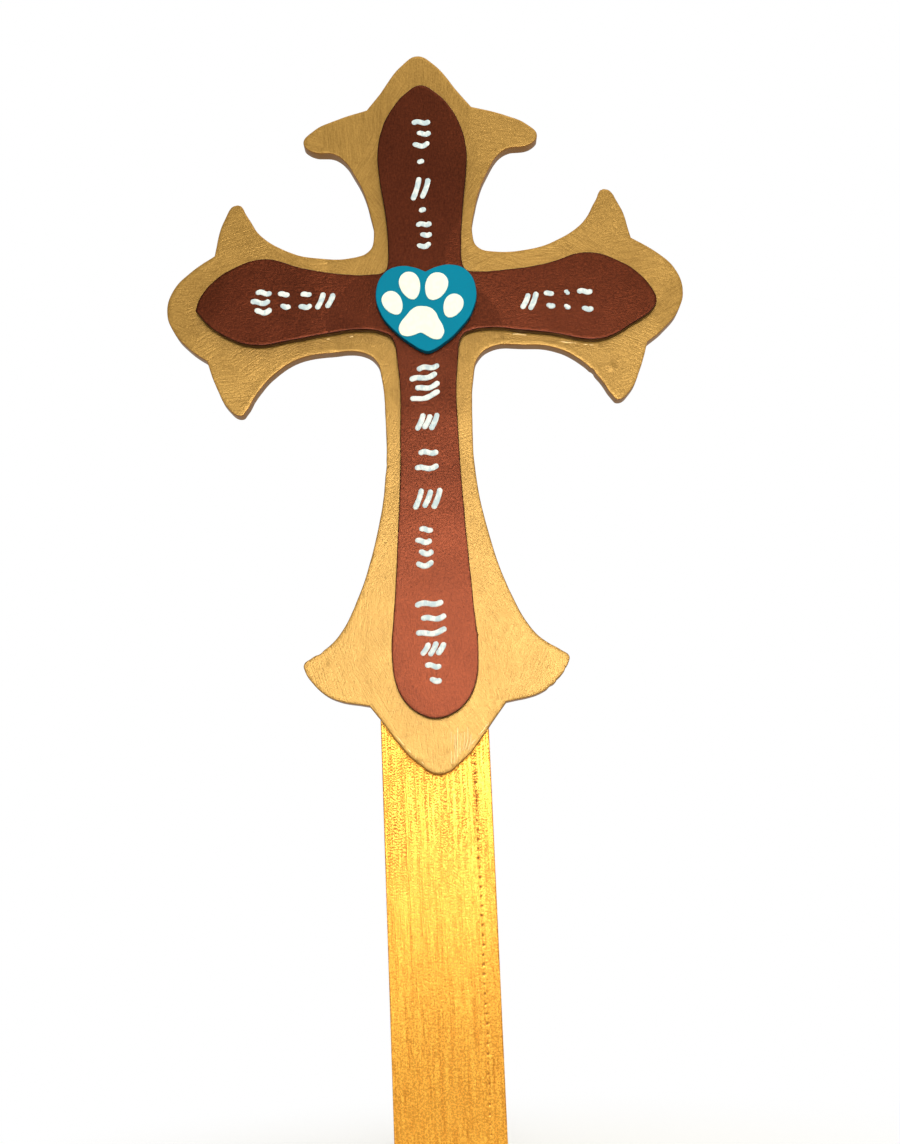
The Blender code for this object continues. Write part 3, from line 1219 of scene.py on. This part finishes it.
@dataclass
class RedBoard(CutBoard):
    """The smaller, inner board, whose red-brown paint swells its edge at the right arm's neck."""

    node: str = "inner_cross"
    name: str = "inner_cross_board"
    finish: Finish = Finish.RED_BROWN
    packed_arris: float = 0.5 * MM
    arris: float = 0.22 * MM
    front: float = -13.55 * MM
    thickness: float = 3.0 * MM
    step: float = 0.7 * MM
    grid: float = 0.8 * MM
    grow: float = 0.3 * MM
    ridge: float = 0.01 * MM
    seed: int = 5
    nicks: tuple[Spot, ...] = spots(
        (14.9, -121.9, 0.9, -0.35), (-13.6, -136.0, 1.0, 0.25),
        (28.0, 9.6, 17.0, -0.65), (30.0, -9.6, 17.0, -0.6),
    )


@dataclass
class Heart(CutBoard):
    """The teal heart on the crossing."""

    node: str = "heart"
    name: str = "heart_board"
    finish: Finish = Finish.TEAL
    packed_arris: float = 0.6 * MM
    arris: float = 0.32 * MM
    front: float = -16.85 * MM
    thickness: float = 3.0 * MM
    step: float = 0.5 * MM
    grid: float = 0.6 * MM
    wander: float = 0.06 * MM
    ridge: float = 0.04 * MM
    seed: int = 9


@dataclass(frozen=True)
class PawToe:
    """One toe of the paw print: an egg shape, narrower towards its foot by its taper."""

    x: float
    z: float
    width: float
    height: float
    lean: float
    taper: float = 0.16
    steps: int = 40

    def edge(self) -> np.ndarray:
        """The toe's edge in the cross's own frame.

        Returns:
            Its points, as rows of (x, z).
        """
        turn = np.linspace(0, 2 * math.pi, self.steps, endpoint=False)
        x = self.width / 2 * np.cos(turn) * (1 + self.taper * np.sin(turn))
        return turned(x, self.height / 2 * np.sin(turn), self.lean) + (self.x, self.z)


@dataclass
class PawPrint:
    """The white paw print on the heart: four toes and a three-lobed pad, as thick paint."""

    surface: float
    height: float = 0.26 * MM
    sunk: float = 0.12 * MM
    step: float = 0.35 * MM
    wander: float = 0.12 * MM
    arris: float = 0.16 * MM
    grid: float = 0.5 * MM
    back_grid: float = 2.0 * MM
    crown: float = 0.05 * MM
    crown_fade: float = 1.2 * MM
    ridge: float = 0.022 * MM
    ridge_size: Pair = (1.1 * MM, 2.4 * MM)
    ridge_seed: int = 31
    wander_seed: int = 40
    toes: tuple[PawToe, ...] = (
        PawToe(-11.75 * MM, 0.5 * MM, 7.0 * MM, 9.7 * MM, math.radians(27)),
        PawToe(-5.2 * MM, 6.95 * MM, 7.4 * MM, 10.9 * MM, math.radians(12)),
        PawToe(4.15 * MM, 6.3 * MM, 7.9 * MM, 10.8 * MM, math.radians(-22)),
        PawToe(10.05 * MM, -1.4 * MM, 6.9 * MM, 9.6 * MM, math.radians(-24)),
    )
    pad_at: Pair = (-1.3 * MM, -7.25 * MM)
    pad_size: Pair = (16.5 * MM, 12.4 * MM)
    pad_lean: float = math.radians(-7)
    pad_shape: tuple[Pair, ...] = (
        (0.00, 0.50), (-0.15, 0.47), (-0.27, 0.35), (-0.37, 0.15), (-0.47, -0.06), (-0.50, -0.26),
        (-0.43, -0.43), (-0.29, -0.47), (-0.14, -0.41), (0.00, -0.33), (0.14, -0.41), (0.29, -0.49),
        (0.43, -0.46), (0.50, -0.28), (0.46, -0.06), (0.36, 0.15), (0.27, 0.35), (0.15, 0.47),
    )

    def pad_edge(self) -> np.ndarray:
        """The large pad's edge in the cross's own frame, as rows of (x, z)."""
        shape = np.array(self.pad_shape) * self.pad_size
        return closed_spline(turned(*shape.T, self.pad_lean) + self.pad_at, 4, sharp_turn=3.0)

    def relief(self, x: np.ndarray, z: np.ndarray, away: np.ndarray) -> np.ndarray:
        """The paint's slight crown and brush ridges, as the height of each point this far from the edge."""
        crown = self.crown * (1 - np.exp(-away / self.crown_fade))
        return crown + self.ridge * value_noise(x, z, *self.ridge_size, self.ridge_seed)

    def build(self, palette: Palette) -> None:
        """Makes and paints the four toes and the pad.

        Args:
            palette: the finishes.
        """
        edges = [("paw_toe", toe.edge()) for toe in self.toes] + [("paw_pad", self.pad_edge())]
        for number, (name, edge) in enumerate(edges, 1):
            outline = Outline(anticlockwise(CROSS.place(edge))).smoothed(self.step)
            slab = Slab(
                f"{name}_{number}",
                outline.cut_by_hand((), self.wander, self.wander_seed + number),
                self.surface - self.height,
                self.height + self.sunk,
                self.arris,
                self.grid,
                self.back_grid,
                self.relief,
                arris_steps=3,
                wall_steps=1,
            )
            palette.dress(slab.build(), Finish.WHITE)


@dataclass
class PaintStrokes:
    """Beads of paint along paths on a board's face, laid by Geometry Nodes."""

    surface: float
    stroke_width: float
    paint_height: float
    wobble: float = 0.16
    seed: float = 3.0
    sides: int = 14
    tip: float = 0.012
    lumps_to_mm: float = 0.45
    step: float = 0.22 * MM

    def growth(self) -> GrowthGraph:
        """The tree that lays a rounded bead of paint along each path.

        Returns:
            The tree, which reads curves in the XY plane and gives a mesh in the board's plane.
        """
        graph = GrowthGraph("strokes_of_paint", {
            "Stroke Width": self.stroke_width,
            "Paint Height": self.paint_height,
            "Wobble": self.wobble,
            "Surface": self.surface,
            "Seed": self.seed,
        })
        given = graph.given
        half = graph.times(given["Stroke Width"], 0.5)
        circle = graph.node("GeometryNodeCurvePrimitiveCircle", {"Resolution": self.sides, "Radius": half})
        squash = graph.joined(X=1.0, Y=graph.math("DIVIDE", given["Paint Height"], half), Z=1.0)
        profile = graph.node("GeometryNodeTransform", {"Geometry": circle.outputs["Curve"], "Scale": squash})
        level = graph.node("GeometryNodeSetCurveNormal", {"Curve": given["Geometry"]}, mode="Z_UP")
        bead = graph.node("GeometryNodeCurveToMesh", {
            "Curve": level.outputs["Curve"],
            "Profile Curve": profile.outputs["Geometry"],
            "Scale": self.swell(graph, half),
            "Fill Caps": True,
        })
        upright = graph.node("GeometryNodeTransform", {
            "Geometry": bead.outputs["Mesh"],
            "Rotation": (math.pi / 2, 0, 0),
            "Translation": graph.joined(Y=given["Surface"]),
        })
        graph.end(upright.outputs["Geometry"])
        return graph

    def swell(self, graph: GrowthGraph, half: Socket) -> Socket:
        """How wide the bead is along its path: round at both ends and a little uneven between.

        Args:
            graph: the tree's nodes.
            half: half the stroke's width.

        Returns:
            The bead's width as a share of the full one.
        """
        along = graph.node("GeometryNodeSplineParameter").outputs["Length"]
        whole = graph.node("GeometryNodeSplineLength").outputs["Length"]
        to_end = graph.math("MINIMUM", along, graph.less(whole, along))
        short = graph.less(1.0, graph.math("MINIMUM", graph.math("DIVIDE", to_end, half), 1.0))
        cap = graph.math("SQRT", graph.math("MAXIMUM", graph.less(1.0, graph.times(short, short)), self.tip))
        lumps = graph.noise(graph.seeded((1 / MM,) * 3), 1 / self.lumps_to_mm, 1.0)
        return graph.times(cap, graph.sway(lumps, graph.times(graph.given["Wobble"], 2.0), 1.0))

    def lay(self, name: str, paths: list[np.ndarray], palette: Palette, finish: Finish) -> None:
        """Makes and paints the strokes.

        Args:
            name: the piece's name.
            paths: one array for each stroke, of rows of (x, z) in millimetres about the crossing.
            palette: the finishes.
            finish: the strokes' paint.
        """
        curve = bpy.data.curves.new(name + "_paths", "CURVE")
        curve.dimensions = "3D"
        for path in paths:
            even = resampled(CROSS.place(path * MM), self.step)
            spline = curve.splines.new("POLY")
            spline.points.add(len(even) - 1)
            for point, (x, z) in zip(spline.points, even):
                point.co = (x, z, 0, 1)
        holder = add_object(name + "_paths", curve)
        palette.dress(self.growth().grow(holder, palette.material(finish), name), finish)


class MarkStyle(Enum):
    """How a mark of the inscription's place is filled."""

    WAVES = "waves"
    SLANTS = "slants"
    DAB = "dab"


@dataclass(frozen=True)
class Mark:
    """One mark in the inscription's place: a few plain strokes that are no letter, in millimetres."""

    x: float
    z: float
    width: float
    height: float
    style: MarkStyle = MarkStyle.WAVES


@dataclass
class Inscription:
    """Rows of shallow white strokes where the inscription stands, set out in millimetres."""

    surface: float
    marks: tuple[Mark, ...] = (
        Mark(0.6, 68.3, 7.9, 11.7),
        Mark(0.0, 57.1, 2.6, 2.8, MarkStyle.DAB),
        Mark(-0.4, 46.3, 7.8, 10.8, MarkStyle.SLANTS),
        Mark(0.1, 37.8, 2.6, 2.3, MarkStyle.DAB),
        Mark(0.4, 27.9, 6.6, 11.0),
        Mark(-60.0, 3.8, 8.8, 9.7),
        Mark(-51.5, 4.2, 5.5, 7.4),
        Mark(-43.9, 3.9, 5.8, 7.4),
        Mark(-36.6, 3.6, 8.0, 8.1, MarkStyle.SLANTS),
        Mark(38.0, 0.8, 7.3, 8.5, MarkStyle.SLANTS),
        Mark(45.5, 1.1, 4.8, 7.4),
        Mark(51.8, 0.9, 3.4, 8.1),
        Mark(58.5, 0.4, 6.5, 9.3),
        Mark(-1.1, -28.8, 11.9, 13.6),
        Mark(-0.7, -43.7, 9.4, 7.9, MarkStyle.SLANTS),
        Mark(-1.3, -58.0, 9.6, 8.2),
        Mark(-1.4, -72.2, 11.0, 9.2, MarkStyle.SLANTS),
        Mark(-3.0, -89.8, 7.4, 15.2),
        Mark(-1.5, -115.3, 11.9, 12.8),
        Mark(-1.1, -126.2, 9.8, 6.7, MarkStyle.SLANTS),
        Mark(-1.2, -134.8, 6.6, 7.7),
    )
    stroke_width: float = 2.0 * MM
    paint_height: float = 0.24 * MM
    row_pitch: float = 3.8
    row_room: Pair = (1.2, 2.6)
    row_shares: tuple[float, ...] = (1.0, 0.74, 0.92, 0.82)
    row_slopes: Triple = (0.16, 0.26, 0.10)
    wave_height: float = 0.6
    wave_steepness: float = 0.1
    wave_shift: float = 0.5
    slant_pitch: float = 3.4
    slant_room: Pair = (4.4, 1.6)
    slant_shares: Pair = (1.0, 0.86)
    slant_lean: float = 2.8
    slant_bend: float = 0.35
    dab_slope: float = 0.3

    def waves(self, mark: Mark, number: int) -> list[np.ndarray]:
        """A stack of wavy strokes of uneven length.

        Args:
            mark: the mark.
            number: its number, which varies the strokes.

        Returns:
            The strokes' paths.
        """
        rows = max(1, round(mark.height / self.row_pitch))
        room = mark.width - self.row_room[0]
        pitch = (mark.height - self.row_room[1]) / max(1, rows - 1)
        t = np.linspace(0, 1, 25)
        found = []
        for row in range(rows):
            length = room * self.row_shares[(row + number) % len(self.row_shares)]
            side = (room - length) / 2 * (1 if (row + number) % 2 else -1)
            height = min(self.wave_height, self.wave_steepness * length)
            rise = height * np.sin(2 * math.pi * t + self.wave_shift * row)
            rise += (t - 0.5) * length * self.row_slopes[number % len(self.row_slopes)]
            z = mark.z + ((rows - 1) / 2 - row) * pitch + rise
            found.append(np.stack([mark.x + side + (t - 0.5) * length, z], axis=1))
        return found

    def slants(self, mark: Mark, number: int) -> list[np.ndarray]:
        """A few strokes side by side, leaning to the right.

        Args:
            mark: the mark.
            number: its number, which varies the strokes.

        Returns:
            The strokes' paths.
        """
        count = max(2, round(mark.width / self.slant_pitch))
        pitch = (mark.width - self.slant_room[0]) / (count - 1)
        t = np.linspace(-0.5, 0.5, 17)
        found = []
        for place in range(count):
            length = (mark.height - self.slant_room[1]) * self.slant_shares[(place + number) % 2]
            bend = self.slant_bend * np.cos(math.pi * t)
            x = mark.x + (place - (count - 1) / 2) * pitch + t * self.slant_lean + bend
            found.append(np.stack([x, mark.z + t * length], axis=1))
        return found

    def dab(self, mark: Mark, number: int) -> list[np.ndarray]:
        """One short, nearly level stroke, the same whatever the mark's number is."""
        step = np.linspace(-0.5, 0.5, 9) * mark.width
        return [np.stack([mark.x + step, mark.z + step * self.dab_slope], axis=1)]

    def build(self, palette: Palette) -> None:
        """Makes and paints the strokes.

        Args:
            palette: the finishes.
        """
        fill = {MarkStyle.WAVES: self.waves, MarkStyle.SLANTS: self.slants, MarkStyle.DAB: self.dab}
        paths = [path for number, mark in enumerate(self.marks) for path in fill[mark.style](mark, number)]
        strokes = PaintStrokes(self.surface, self.stroke_width, self.paint_height)
        strokes.lay("inscription_strokes", paths, palette, Finish.WHITE_THIN)


@dataclass
class BrushRidges:
    """Raised gold ridges where the brush turned, a fan near the foot and beads along the red board's edge,
    with a painted highlight in their lighter gold.

    Places along the board are in millimetres about the crossing.
    """

    surface: float
    sunk: float = 0.09 * MM
    ridge_width: float = 0.68 * MM
    paint_height: float = 0.14 * MM
    wobble: float = 0.6
    seed: float = 8.0
    fan_left: float = 4.3
    fan_right: float = 11.2
    fan_pitch: float = 1.25
    fan_top: float = -154.8
    fan_foot: float = -166.4
    fan_rise: float = 5.2
    fan_spread: float = 0.9
    foot_left: float = 0.3
    middle_left: float = 0.2
    uneven_foot: Pair = (0.9, 5.1)
    uneven_top: Pair = (1.4, 2.3)
    uneven_bend: Pair = (0.25, 1.7)
    beads: tuple[tuple[Pair, ...], ...] = (
        ((63.9, -13.6), (66.8, -12.2), (69.5, -11.0)),
        ((72.4, -9.6), (76.0, -7.6), (78.2, -6.2)),
        ((48.8, -13.9), (52.0, -14.5), (55.0, -14.8)),
        ((57.2, -15.4), (59.5, -15.5), (62.3, -16.0)),
        ((31.5, -10.4), (34.0, -10.5), (36.8, -11.1)),
        ((-36.7, -10.1), (-35.2, -9.8)),
        ((-28.2, -9.4), (-26.6, -9.2)),
        ((-15.2, -155.4), (-13.4, -157.7), (-12.0, -159.5)),
        ((-11.2, -160.4), (-9.6, -162.3)),
        ((-8.7, -163.0), (-7.0, -164.6), (-5.2, -166.2)),
        ((17.6, -152.2), (15.6, -154.6), (14.0, -156.6)),
        ((12.6, -157.9), (10.9, -160.0)),
    )

    @staticmethod
    def uneven(swing: Pair, number: int) -> float:
        """A sine from its (height, step), which makes each ridge a little different from the next."""
        return swing[0] * math.sin(swing[1] * number)

    def fan(self) -> list[np.ndarray]:
        """The fan's ridges, each with its own slight bend.

        Returns:
            One array for each ridge, of rows of (x, z).
        """
        found = []
        count = round((self.fan_right - self.fan_left) / self.fan_pitch)
        for number in range(count + 1):
            share = number / count
            x = self.fan_left + share * (self.fan_right - self.fan_left)
            foot = self.fan_foot + share * self.fan_rise + self.uneven(self.uneven_foot, number)
            top = self.fan_top - self.uneven(self.uneven_top, number)
            middle_x = x + self.uneven(self.uneven_bend, number) - self.middle_left
            foot_x = x - self.fan_spread * share - self.foot_left
            found.append(np.array([(x, top), (middle_x, (top + foot) / 2), (foot_x, foot)]))
        return found

    def build(self, palette: Palette) -> None:
        """Makes and paints the ridges.

        Args:
            palette: the finishes.
        """
        surface = self.surface + self.sunk
        strokes = PaintStrokes(surface, self.ridge_width, self.paint_height, self.wobble, self.seed)
        paths = self.fan() + [np.array(bead) for bead in self.beads]
        # The ridges' lighter gold is a painted highlight
        strokes.lay("gold_brush_ridges", paths, palette, Finish.THICK_HIGHLIT_GOLD)


@dataclass
class Stake:
    """The planed batten: upright grain ribs, a row of small pin dots and a short crack along them."""

    node: str = "stake"
    arris: float = 0.3 * MM
    arris_steps: int = 4
    front_grid: float = 0.48 * MM
    side_grid: float = 1.5 * MM
    back_grid: float = 2.5 * MM
    row: float = 0.36 * MM
    rib_depth: float = 0.055 * MM
    rib_pitch: float = 1.9 * MM
    rib_length: float = 95 * MM
    rib_swing: float = 3.0
    crack_foot: float = 0.124
    crack_top: float = 0.138
    crack_patch: float = 1.6 * MM
    crack_open: Pair = (0.42, 0.62)
    crack_share: Pair = (0.05, 0.5)
    crack_rim: Pair = (0.1, 0.6)
    dot_depth: float = 0.20 * MM
    dot_pitch: float = 3.25 * MM
    dot_radius: float = 0.45 * MM
    dot_from_edge: float = 5.5 * MM
    dot_net: tuple[float, ...] = (-0.9, -0.6, -0.3, 0, 0.3, 0.6, 0.9)
    dot_margin: float = 1.15
    dot_sizes: Pair = (0.7, 1.25)
    dot_uneven: Pair = (0.3, 0.7)
    dot_rim: Pair = (0.2, 1.0)
    front_facing: Pair = (-0.95, -0.6)
    end_facing: Pair = (0.3, 0.7)
    dot_stray: float = 1.3 * MM
    stray_length: float = 7 * MM
    size_length: float = 2.6 * MM
    seed: float = 11.0
    sharp_from: float = math.radians(50)

    def section(self, low: Vector, high: Vector) -> list[Pair]:
        """The batten's cross-section, anticlockwise seen from above, from the front's left end.

        Args:
            low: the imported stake's lowest corner.
            high: its highest corner.

        Returns:
            The points as (x, y).
        """
        r = self.arris
        dot_at = high.x - self.dot_from_edge
        front = list(np.arange(low.x + r, high.x - r, self.front_grid))
        close = [dot_at + share * self.dot_radius for share in self.dot_net]
        front = sorted([x for x in front if abs(x - dot_at) > self.dot_radius * self.dot_margin] + close)
        side = np.arange(low.y + r, high.y - r, self.side_grid)
        back = np.arange(high.x - r, low.x + r, -self.back_grid)
        return [
            *((x, low.y) for x in front),
            *self.corner(high.x - r, low.y + r, -90),
            *((high.x, y) for y in side[1:]),
            *self.corner(high.x - r, high.y - r, 0),
            *((x, high.y) for x in back[1:]),
            *self.corner(low.x + r, high.y - r, 90),
            *((low.x, y) for y in side[:0:-1]),
            *self.corner(low.x + r, low.y + r, 180)[:-1],
        ]

    def corner(self, x: float, y: float, start: float) -> list[Pair]:
        """A rounded corner about a point, a quarter turn on from start in degrees."""
        turns = [math.radians(start + 90 * step / self.arris_steps) for step in range(self.arris_steps + 1)]
        return [(x + self.arris * math.cos(turn), y + self.arris * math.sin(turn)) for turn in turns]

    def blank(self, low: Vector, high: Vector) -> bpy.types.Object:
        """The batten before its grain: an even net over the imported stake's box.

        Args:
            low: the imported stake's lowest corner.
            high: its highest corner.

        Returns:
            The object that the grain grows on.
        """
        section = self.section(low, high)
        count = len(section)
        top = high.z - self.arris
        levels = np.linspace(low.z, top, round((top - low.z) / self.row))
        places = [(x, y, z) for z in levels for x, y in section]
        middle_y = (low.y + high.y) / 2
        for step in range(1, self.arris_steps + 1):
            turn = math.pi / 2 * step / self.arris_steps
            inset, z = self.arris * (1 - math.cos(turn)), top + self.arris * math.sin(turn)
            shrink_x, shrink_y = 1 - inset / high.x, 1 - inset / (high.y - middle_y)
            places += [(x * shrink_x, middle_y + (y - middle_y) * shrink_y, z) for x, y in section]
        faces = bands(count, len(places) // count)
        faces.append(tuple(range(count))[::-1])
        faces.append(tuple(range(len(places) - count, len(places))))
        mesh = bpy.data.meshes.new("stake_blank")
        mesh.from_pydata(places, [], faces)
        return add_object("stake_blank", mesh)

    def growth(self, dot_at: float) -> GrowthGraph:
        """The tree that presses ribs, dots and the crack into the batten.

        Args:
            dot_at: the x of the row of dots.

        Returns:
            The tree.
        """
        graph = GrowthGraph("planed_grain", {
            "Rib Depth": self.rib_depth,
            "Rib Pitch": self.rib_pitch,
            "Crack Foot": self.crack_foot,
            "Crack Top": self.crack_top,
            "Dot Depth": self.dot_depth,
            "Dot Pitch": self.dot_pitch,
            "Dot Radius": self.dot_radius,
            "Dot Column": dot_at,
            "Seed": self.seed,
        })
        given = graph.given
        normal = graph.node("GeometryNodeInputNormal").outputs["Normal"]
        _, facing, rising = graph.split(normal)
        on_front = graph.ramp(facing, *self.front_facing, 1.0, 0.0)
        upright = graph.ramp(graph.math("ABSOLUTE", rising), *self.end_facing, 1.0, 0.0)
        dot = graph.times(self.dots(graph), on_front)
        height = graph.times(graph.less(self.ribs(graph), graph.times(dot, given["Dot Depth"])), upright)
        inputs = {"Geometry": given["Geometry"], "Name": "dot", "Value": dot}
        store = graph.node("GeometryNodeStoreNamedAttribute", inputs, data_type="FLOAT", domain="POINT")
        push = graph.node("ShaderNodeVectorMath", {0: normal, "Scale": height}, operation="SCALE")
        inputs = {"Geometry": store.outputs["Geometry"], "Offset": push.outputs[0]}
        graph.end(graph.node("GeometryNodeSetPosition", inputs).outputs["Geometry"])
        return graph

    def ribs(self, graph: GrowthGraph) -> Socket:
        """Upright ribs of the grain.

        Args:
            graph: the tree's nodes.

        Returns:
            The ribs' height.
        """
        fine = graph.math("DIVIDE", 1.0, graph.given["Rib Pitch"])
        where = graph.seeded(graph.joined(X=fine, Y=fine, Z=1 / self.rib_length))
        swing = graph.times(graph.given["Rib Depth"], self.rib_swing)
        return graph.sway(graph.noise(where, 1.0, 1.5), swing, 0.0)

    def dots(self, graph: GrowthGraph) -> Socket:
        """The row of pin dots, with the crack that runs through a few of them.

        Args:
            graph: the tree's nodes.

        Returns:
            How deep in a dot each point is, from 0 to 1.
        """
        given = graph.given
        x, _, z = graph.split(graph.position)
        stray = graph.noise(graph.position, self.stray_length, 2.0)
        out = graph.sway(stray, self.dot_stray, graph.less(x, given["Dot Column"]))
        turn = graph.math("FRACT", graph.math("DIVIDE", z, given["Dot Pitch"]))
        up = graph.times(graph.less(turn, 0.5), given["Dot Pitch"])
        away = graph.math("SQRT", graph.math("MULTIPLY_ADD", up, up, graph.times(out, out)))
        uneven = graph.noise(graph.position, self.size_length, 1.0)
        size = graph.times(given["Dot Radius"], graph.ramp(uneven, *self.dot_uneven, *self.dot_sizes))
        dot = graph.ramp(graph.math("DIVIDE", away, size), *self.dot_rim, 1.0, 0.0)
        off_line = graph.math("DIVIDE", graph.math("ABSOLUTE", out), given["Dot Radius"])
        line = graph.ramp(off_line, *self.crack_rim, 1.0, 0.0)
        cloud = graph.noise(graph.position, self.crack_patch, 1.0)
        patches = graph.ramp(cloud, *self.crack_open, *self.crack_share)
        above = graph.math("GREATER_THAN", z, given["Crack Foot"])
        below = graph.math("LESS_THAN", z, given["Crack Top"])
        return graph.math("MAXIMUM", dot, graph.times(line, patches, above, below))

    def build(self, palette: Palette) -> None:
        """Makes and paints the stake.

        Args:
            palette: the finishes.
        """
        low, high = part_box(self.node)
        growth = self.growth(high.x - self.dot_from_edge)
        made = growth.grow(self.blank(low, high), palette.material(Finish.STAKE_GOLD), "stake_batten")
        made.data.set_sharp_from_angle(angle=self.sharp_from)
        palette.dress(made, Finish.STAKE_GOLD, self.node)


@dataclass
class GraveCross:
    """The cross on its stake: two boards and a heart, each with its paint."""

    stake: Stake = field(default_factory=Stake)
    outer: GoldBoard = field(default_factory=GoldBoard)
    inner: RedBoard = field(default_factory=RedBoard)
    heart: Heart = field(default_factory=Heart)

    def build(self, palette: Palette) -> None:
        """Makes every piece.

        Args:
            palette: the finishes.
        """
        pieces = (
            self.stake, self.outer, self.inner, self.heart,
            BrushRidges(self.outer.front), Inscription(self.inner.front), PawPrint(self.heart.front),
        )
        for piece in pieces:
            piece.build(palette)


@dataclass(frozen=True)
class Lamp:
    """A soft square lamp that points at the cross."""

    name: str
    place: Triple
    size: float
    power: float
    colour: Triple
    aim: Triple = (0.0, 0.0, 0.2)

    def build(self) -> None:
        """Hangs the lamp."""
        light = bpy.data.lights.new(self.name, "AREA")
        light.shape = "SQUARE"
        light.size = self.size
        light.energy = self.power
        light.color = self.colour
        lamp = add_object(self.name, light)
        lamp.location = self.place
        lamp.rotation_euler = (Vector(self.aim) - Vector(self.place)).to_track_quat("-Z", "Y").to_euler()
        lamp.visible_camera = False


@dataclass
class Studio:
    """A plain pale floor that runs out into an even pale surround, and soft light from the upper right."""

    floor_radius: float = 2.6
    floor_sides: int = 96
    floor_drop: float = 0.3 * MM
    floor_colour: Triple = (0.9, 0.9, 0.87)
    floor_roughness: float = 0.8
    floor_light: float = 0.5
    fade_from: float = 0.05
    fade_to: float = 0.28
    surround: Triple = (1.0, 1.0, 1.0)
    sky_colour: Triple = (1.0, 0.985, 0.95)
    sky_turn: Pair = (-0.1, 0.6)
    sky_low: float = 0.52
    sky_high: float = 0.38
    lamps: tuple[Lamp, ...] = (
        Lamp("key", (0.5, -1.35, 2.4), 1.8, 31.5, (1.0, 0.98, 0.93)),
        Lamp("window", (0.04, -1.6, 0.37), 0.50, 13.8, (0.98, 0.99, 1.03)),
        Lamp("side", (1.7, -0.35, 0.35), 0.9, 8.0, (1.0, 0.98, 0.94)),
        Lamp("back", (-0.3, 1.3, 1.9), 1.4, 20.0, (1.0, 0.99, 0.97)),
    )

    def build(self) -> None:
        """Makes the floor, the surround and the lamps."""
        self.floor()
        self.world()
        for lamp in self.lamps:
            lamp.build()

    def floor(self) -> None:
        """The floor, which catches soft shadows near the cross and fades into the surround."""
        mesh = bpy.data.meshes.new("floor")
        shape = bmesh.new()
        bmesh.ops.create_circle(shape, cap_ends=True, segments=self.floor_sides, radius=self.floor_radius)
        bmesh.ops.translate(shape, verts=shape.verts, vec=(0, 0, -self.floor_drop))
        shape.to_mesh(mesh)
        shape.free()
        floor = add_object("floor", mesh)
        graph = ShaderGraph("pale_floor")
        graph.feed(graph.shader.inputs["Base Color"], (*self.floor_colour, 1.0))
        graph.feed(graph.shader.inputs["Roughness"], self.floor_roughness)
        away = graph.node("ShaderNodeVectorMath", {0: graph.place}, operation="LENGTH")
        share = graph.ramp(away.outputs["Value"], self.fade_from, self.fade_to)
        strength = graph.ramp(graph.for_camera(), 0.0, 1.0, self.floor_light, 1.0)
        glow = graph.node("ShaderNodeEmission", {"Color": (*self.surround, 1.0), "Strength": strength})
        surface = graph.mixed_shader(share, graph.shader.outputs[0], glow.outputs[0])
        graph.feed(graph.tree.nodes["Material Output"].inputs["Surface"], surface)
        mesh.materials.append(graph.material)

    def world(self) -> None:
        """The surround: pale where it is seen, and brighter low down than overhead where it lights."""
        world = bpy.data.worlds.new("studio")
        world.use_nodes = True
        bpy.context.scene.world = world
        graph = Graph(world.node_tree)
        light = graph.tree.nodes["Background"]
        rise = graph.split(graph.node("ShaderNodeTexCoord").outputs["Generated"])[2]
        graph.feed(light.inputs["Strength"], graph.ramp(rise, *self.sky_turn, self.sky_low, self.sky_high))
        graph.feed(light.inputs["Color"], (*self.sky_colour, 1.0))
        seen = graph.node("ShaderNodeBackground", {"Color": (*self.surround, 1.0)})
        surface = graph.mixed_shader(graph.for_camera(), light.outputs[0], seen.outputs[0])
        graph.feed(graph.tree.nodes["World Output"].inputs["Surface"], surface)


@dataclass(frozen=True)
class Viewpoint:
    """The camera at the photograph's angle: low in front of the stake, looking up, a little rolled."""

    place: Triple = (0.0076, -0.53775, 0.112)
    lens: float = 47.64
    sensor: float = 36.0
    nearest: float = 0.01
    pitch: float = math.radians(11.1)
    roll: float = math.radians(2.39)

    def build(self) -> None:
        """Makes the camera and gives it to the scene."""
        camera = bpy.data.cameras.new("camera")
        camera.lens = self.lens
        camera.sensor_width = self.sensor
        camera.clip_start = self.nearest
        holder = add_object("camera", camera)
        forward = Vector((0, math.cos(self.pitch), math.sin(self.pitch)))
        upward = Vector((0, -math.sin(self.pitch), math.cos(self.pitch)))
        rightward = Vector((1, 0, 0))
        axis_x = rightward * math.cos(self.roll) - upward * math.sin(self.roll)
        axis_y = rightward * math.sin(self.roll) + upward * math.cos(self.roll)
        turn = Matrix((axis_x, axis_y, -forward)).transposed()
        holder.matrix_world = Matrix.Translation(self.place) @ turn.to_4x4()
        scene = bpy.context.scene
        scene.camera = holder
        scene.view_settings.view_transform = "Standard"


def main() -> None:
    """Builds the camera, the cross and the studio."""
    logging.basicConfig(level=logging.INFO, format="%(name)s: %(message)s")
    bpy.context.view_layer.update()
    Viewpoint().build()
    palette = Palette()
    GraveCross().build(palette)
    Studio().build()


if __name__ == "__main__":
    main()
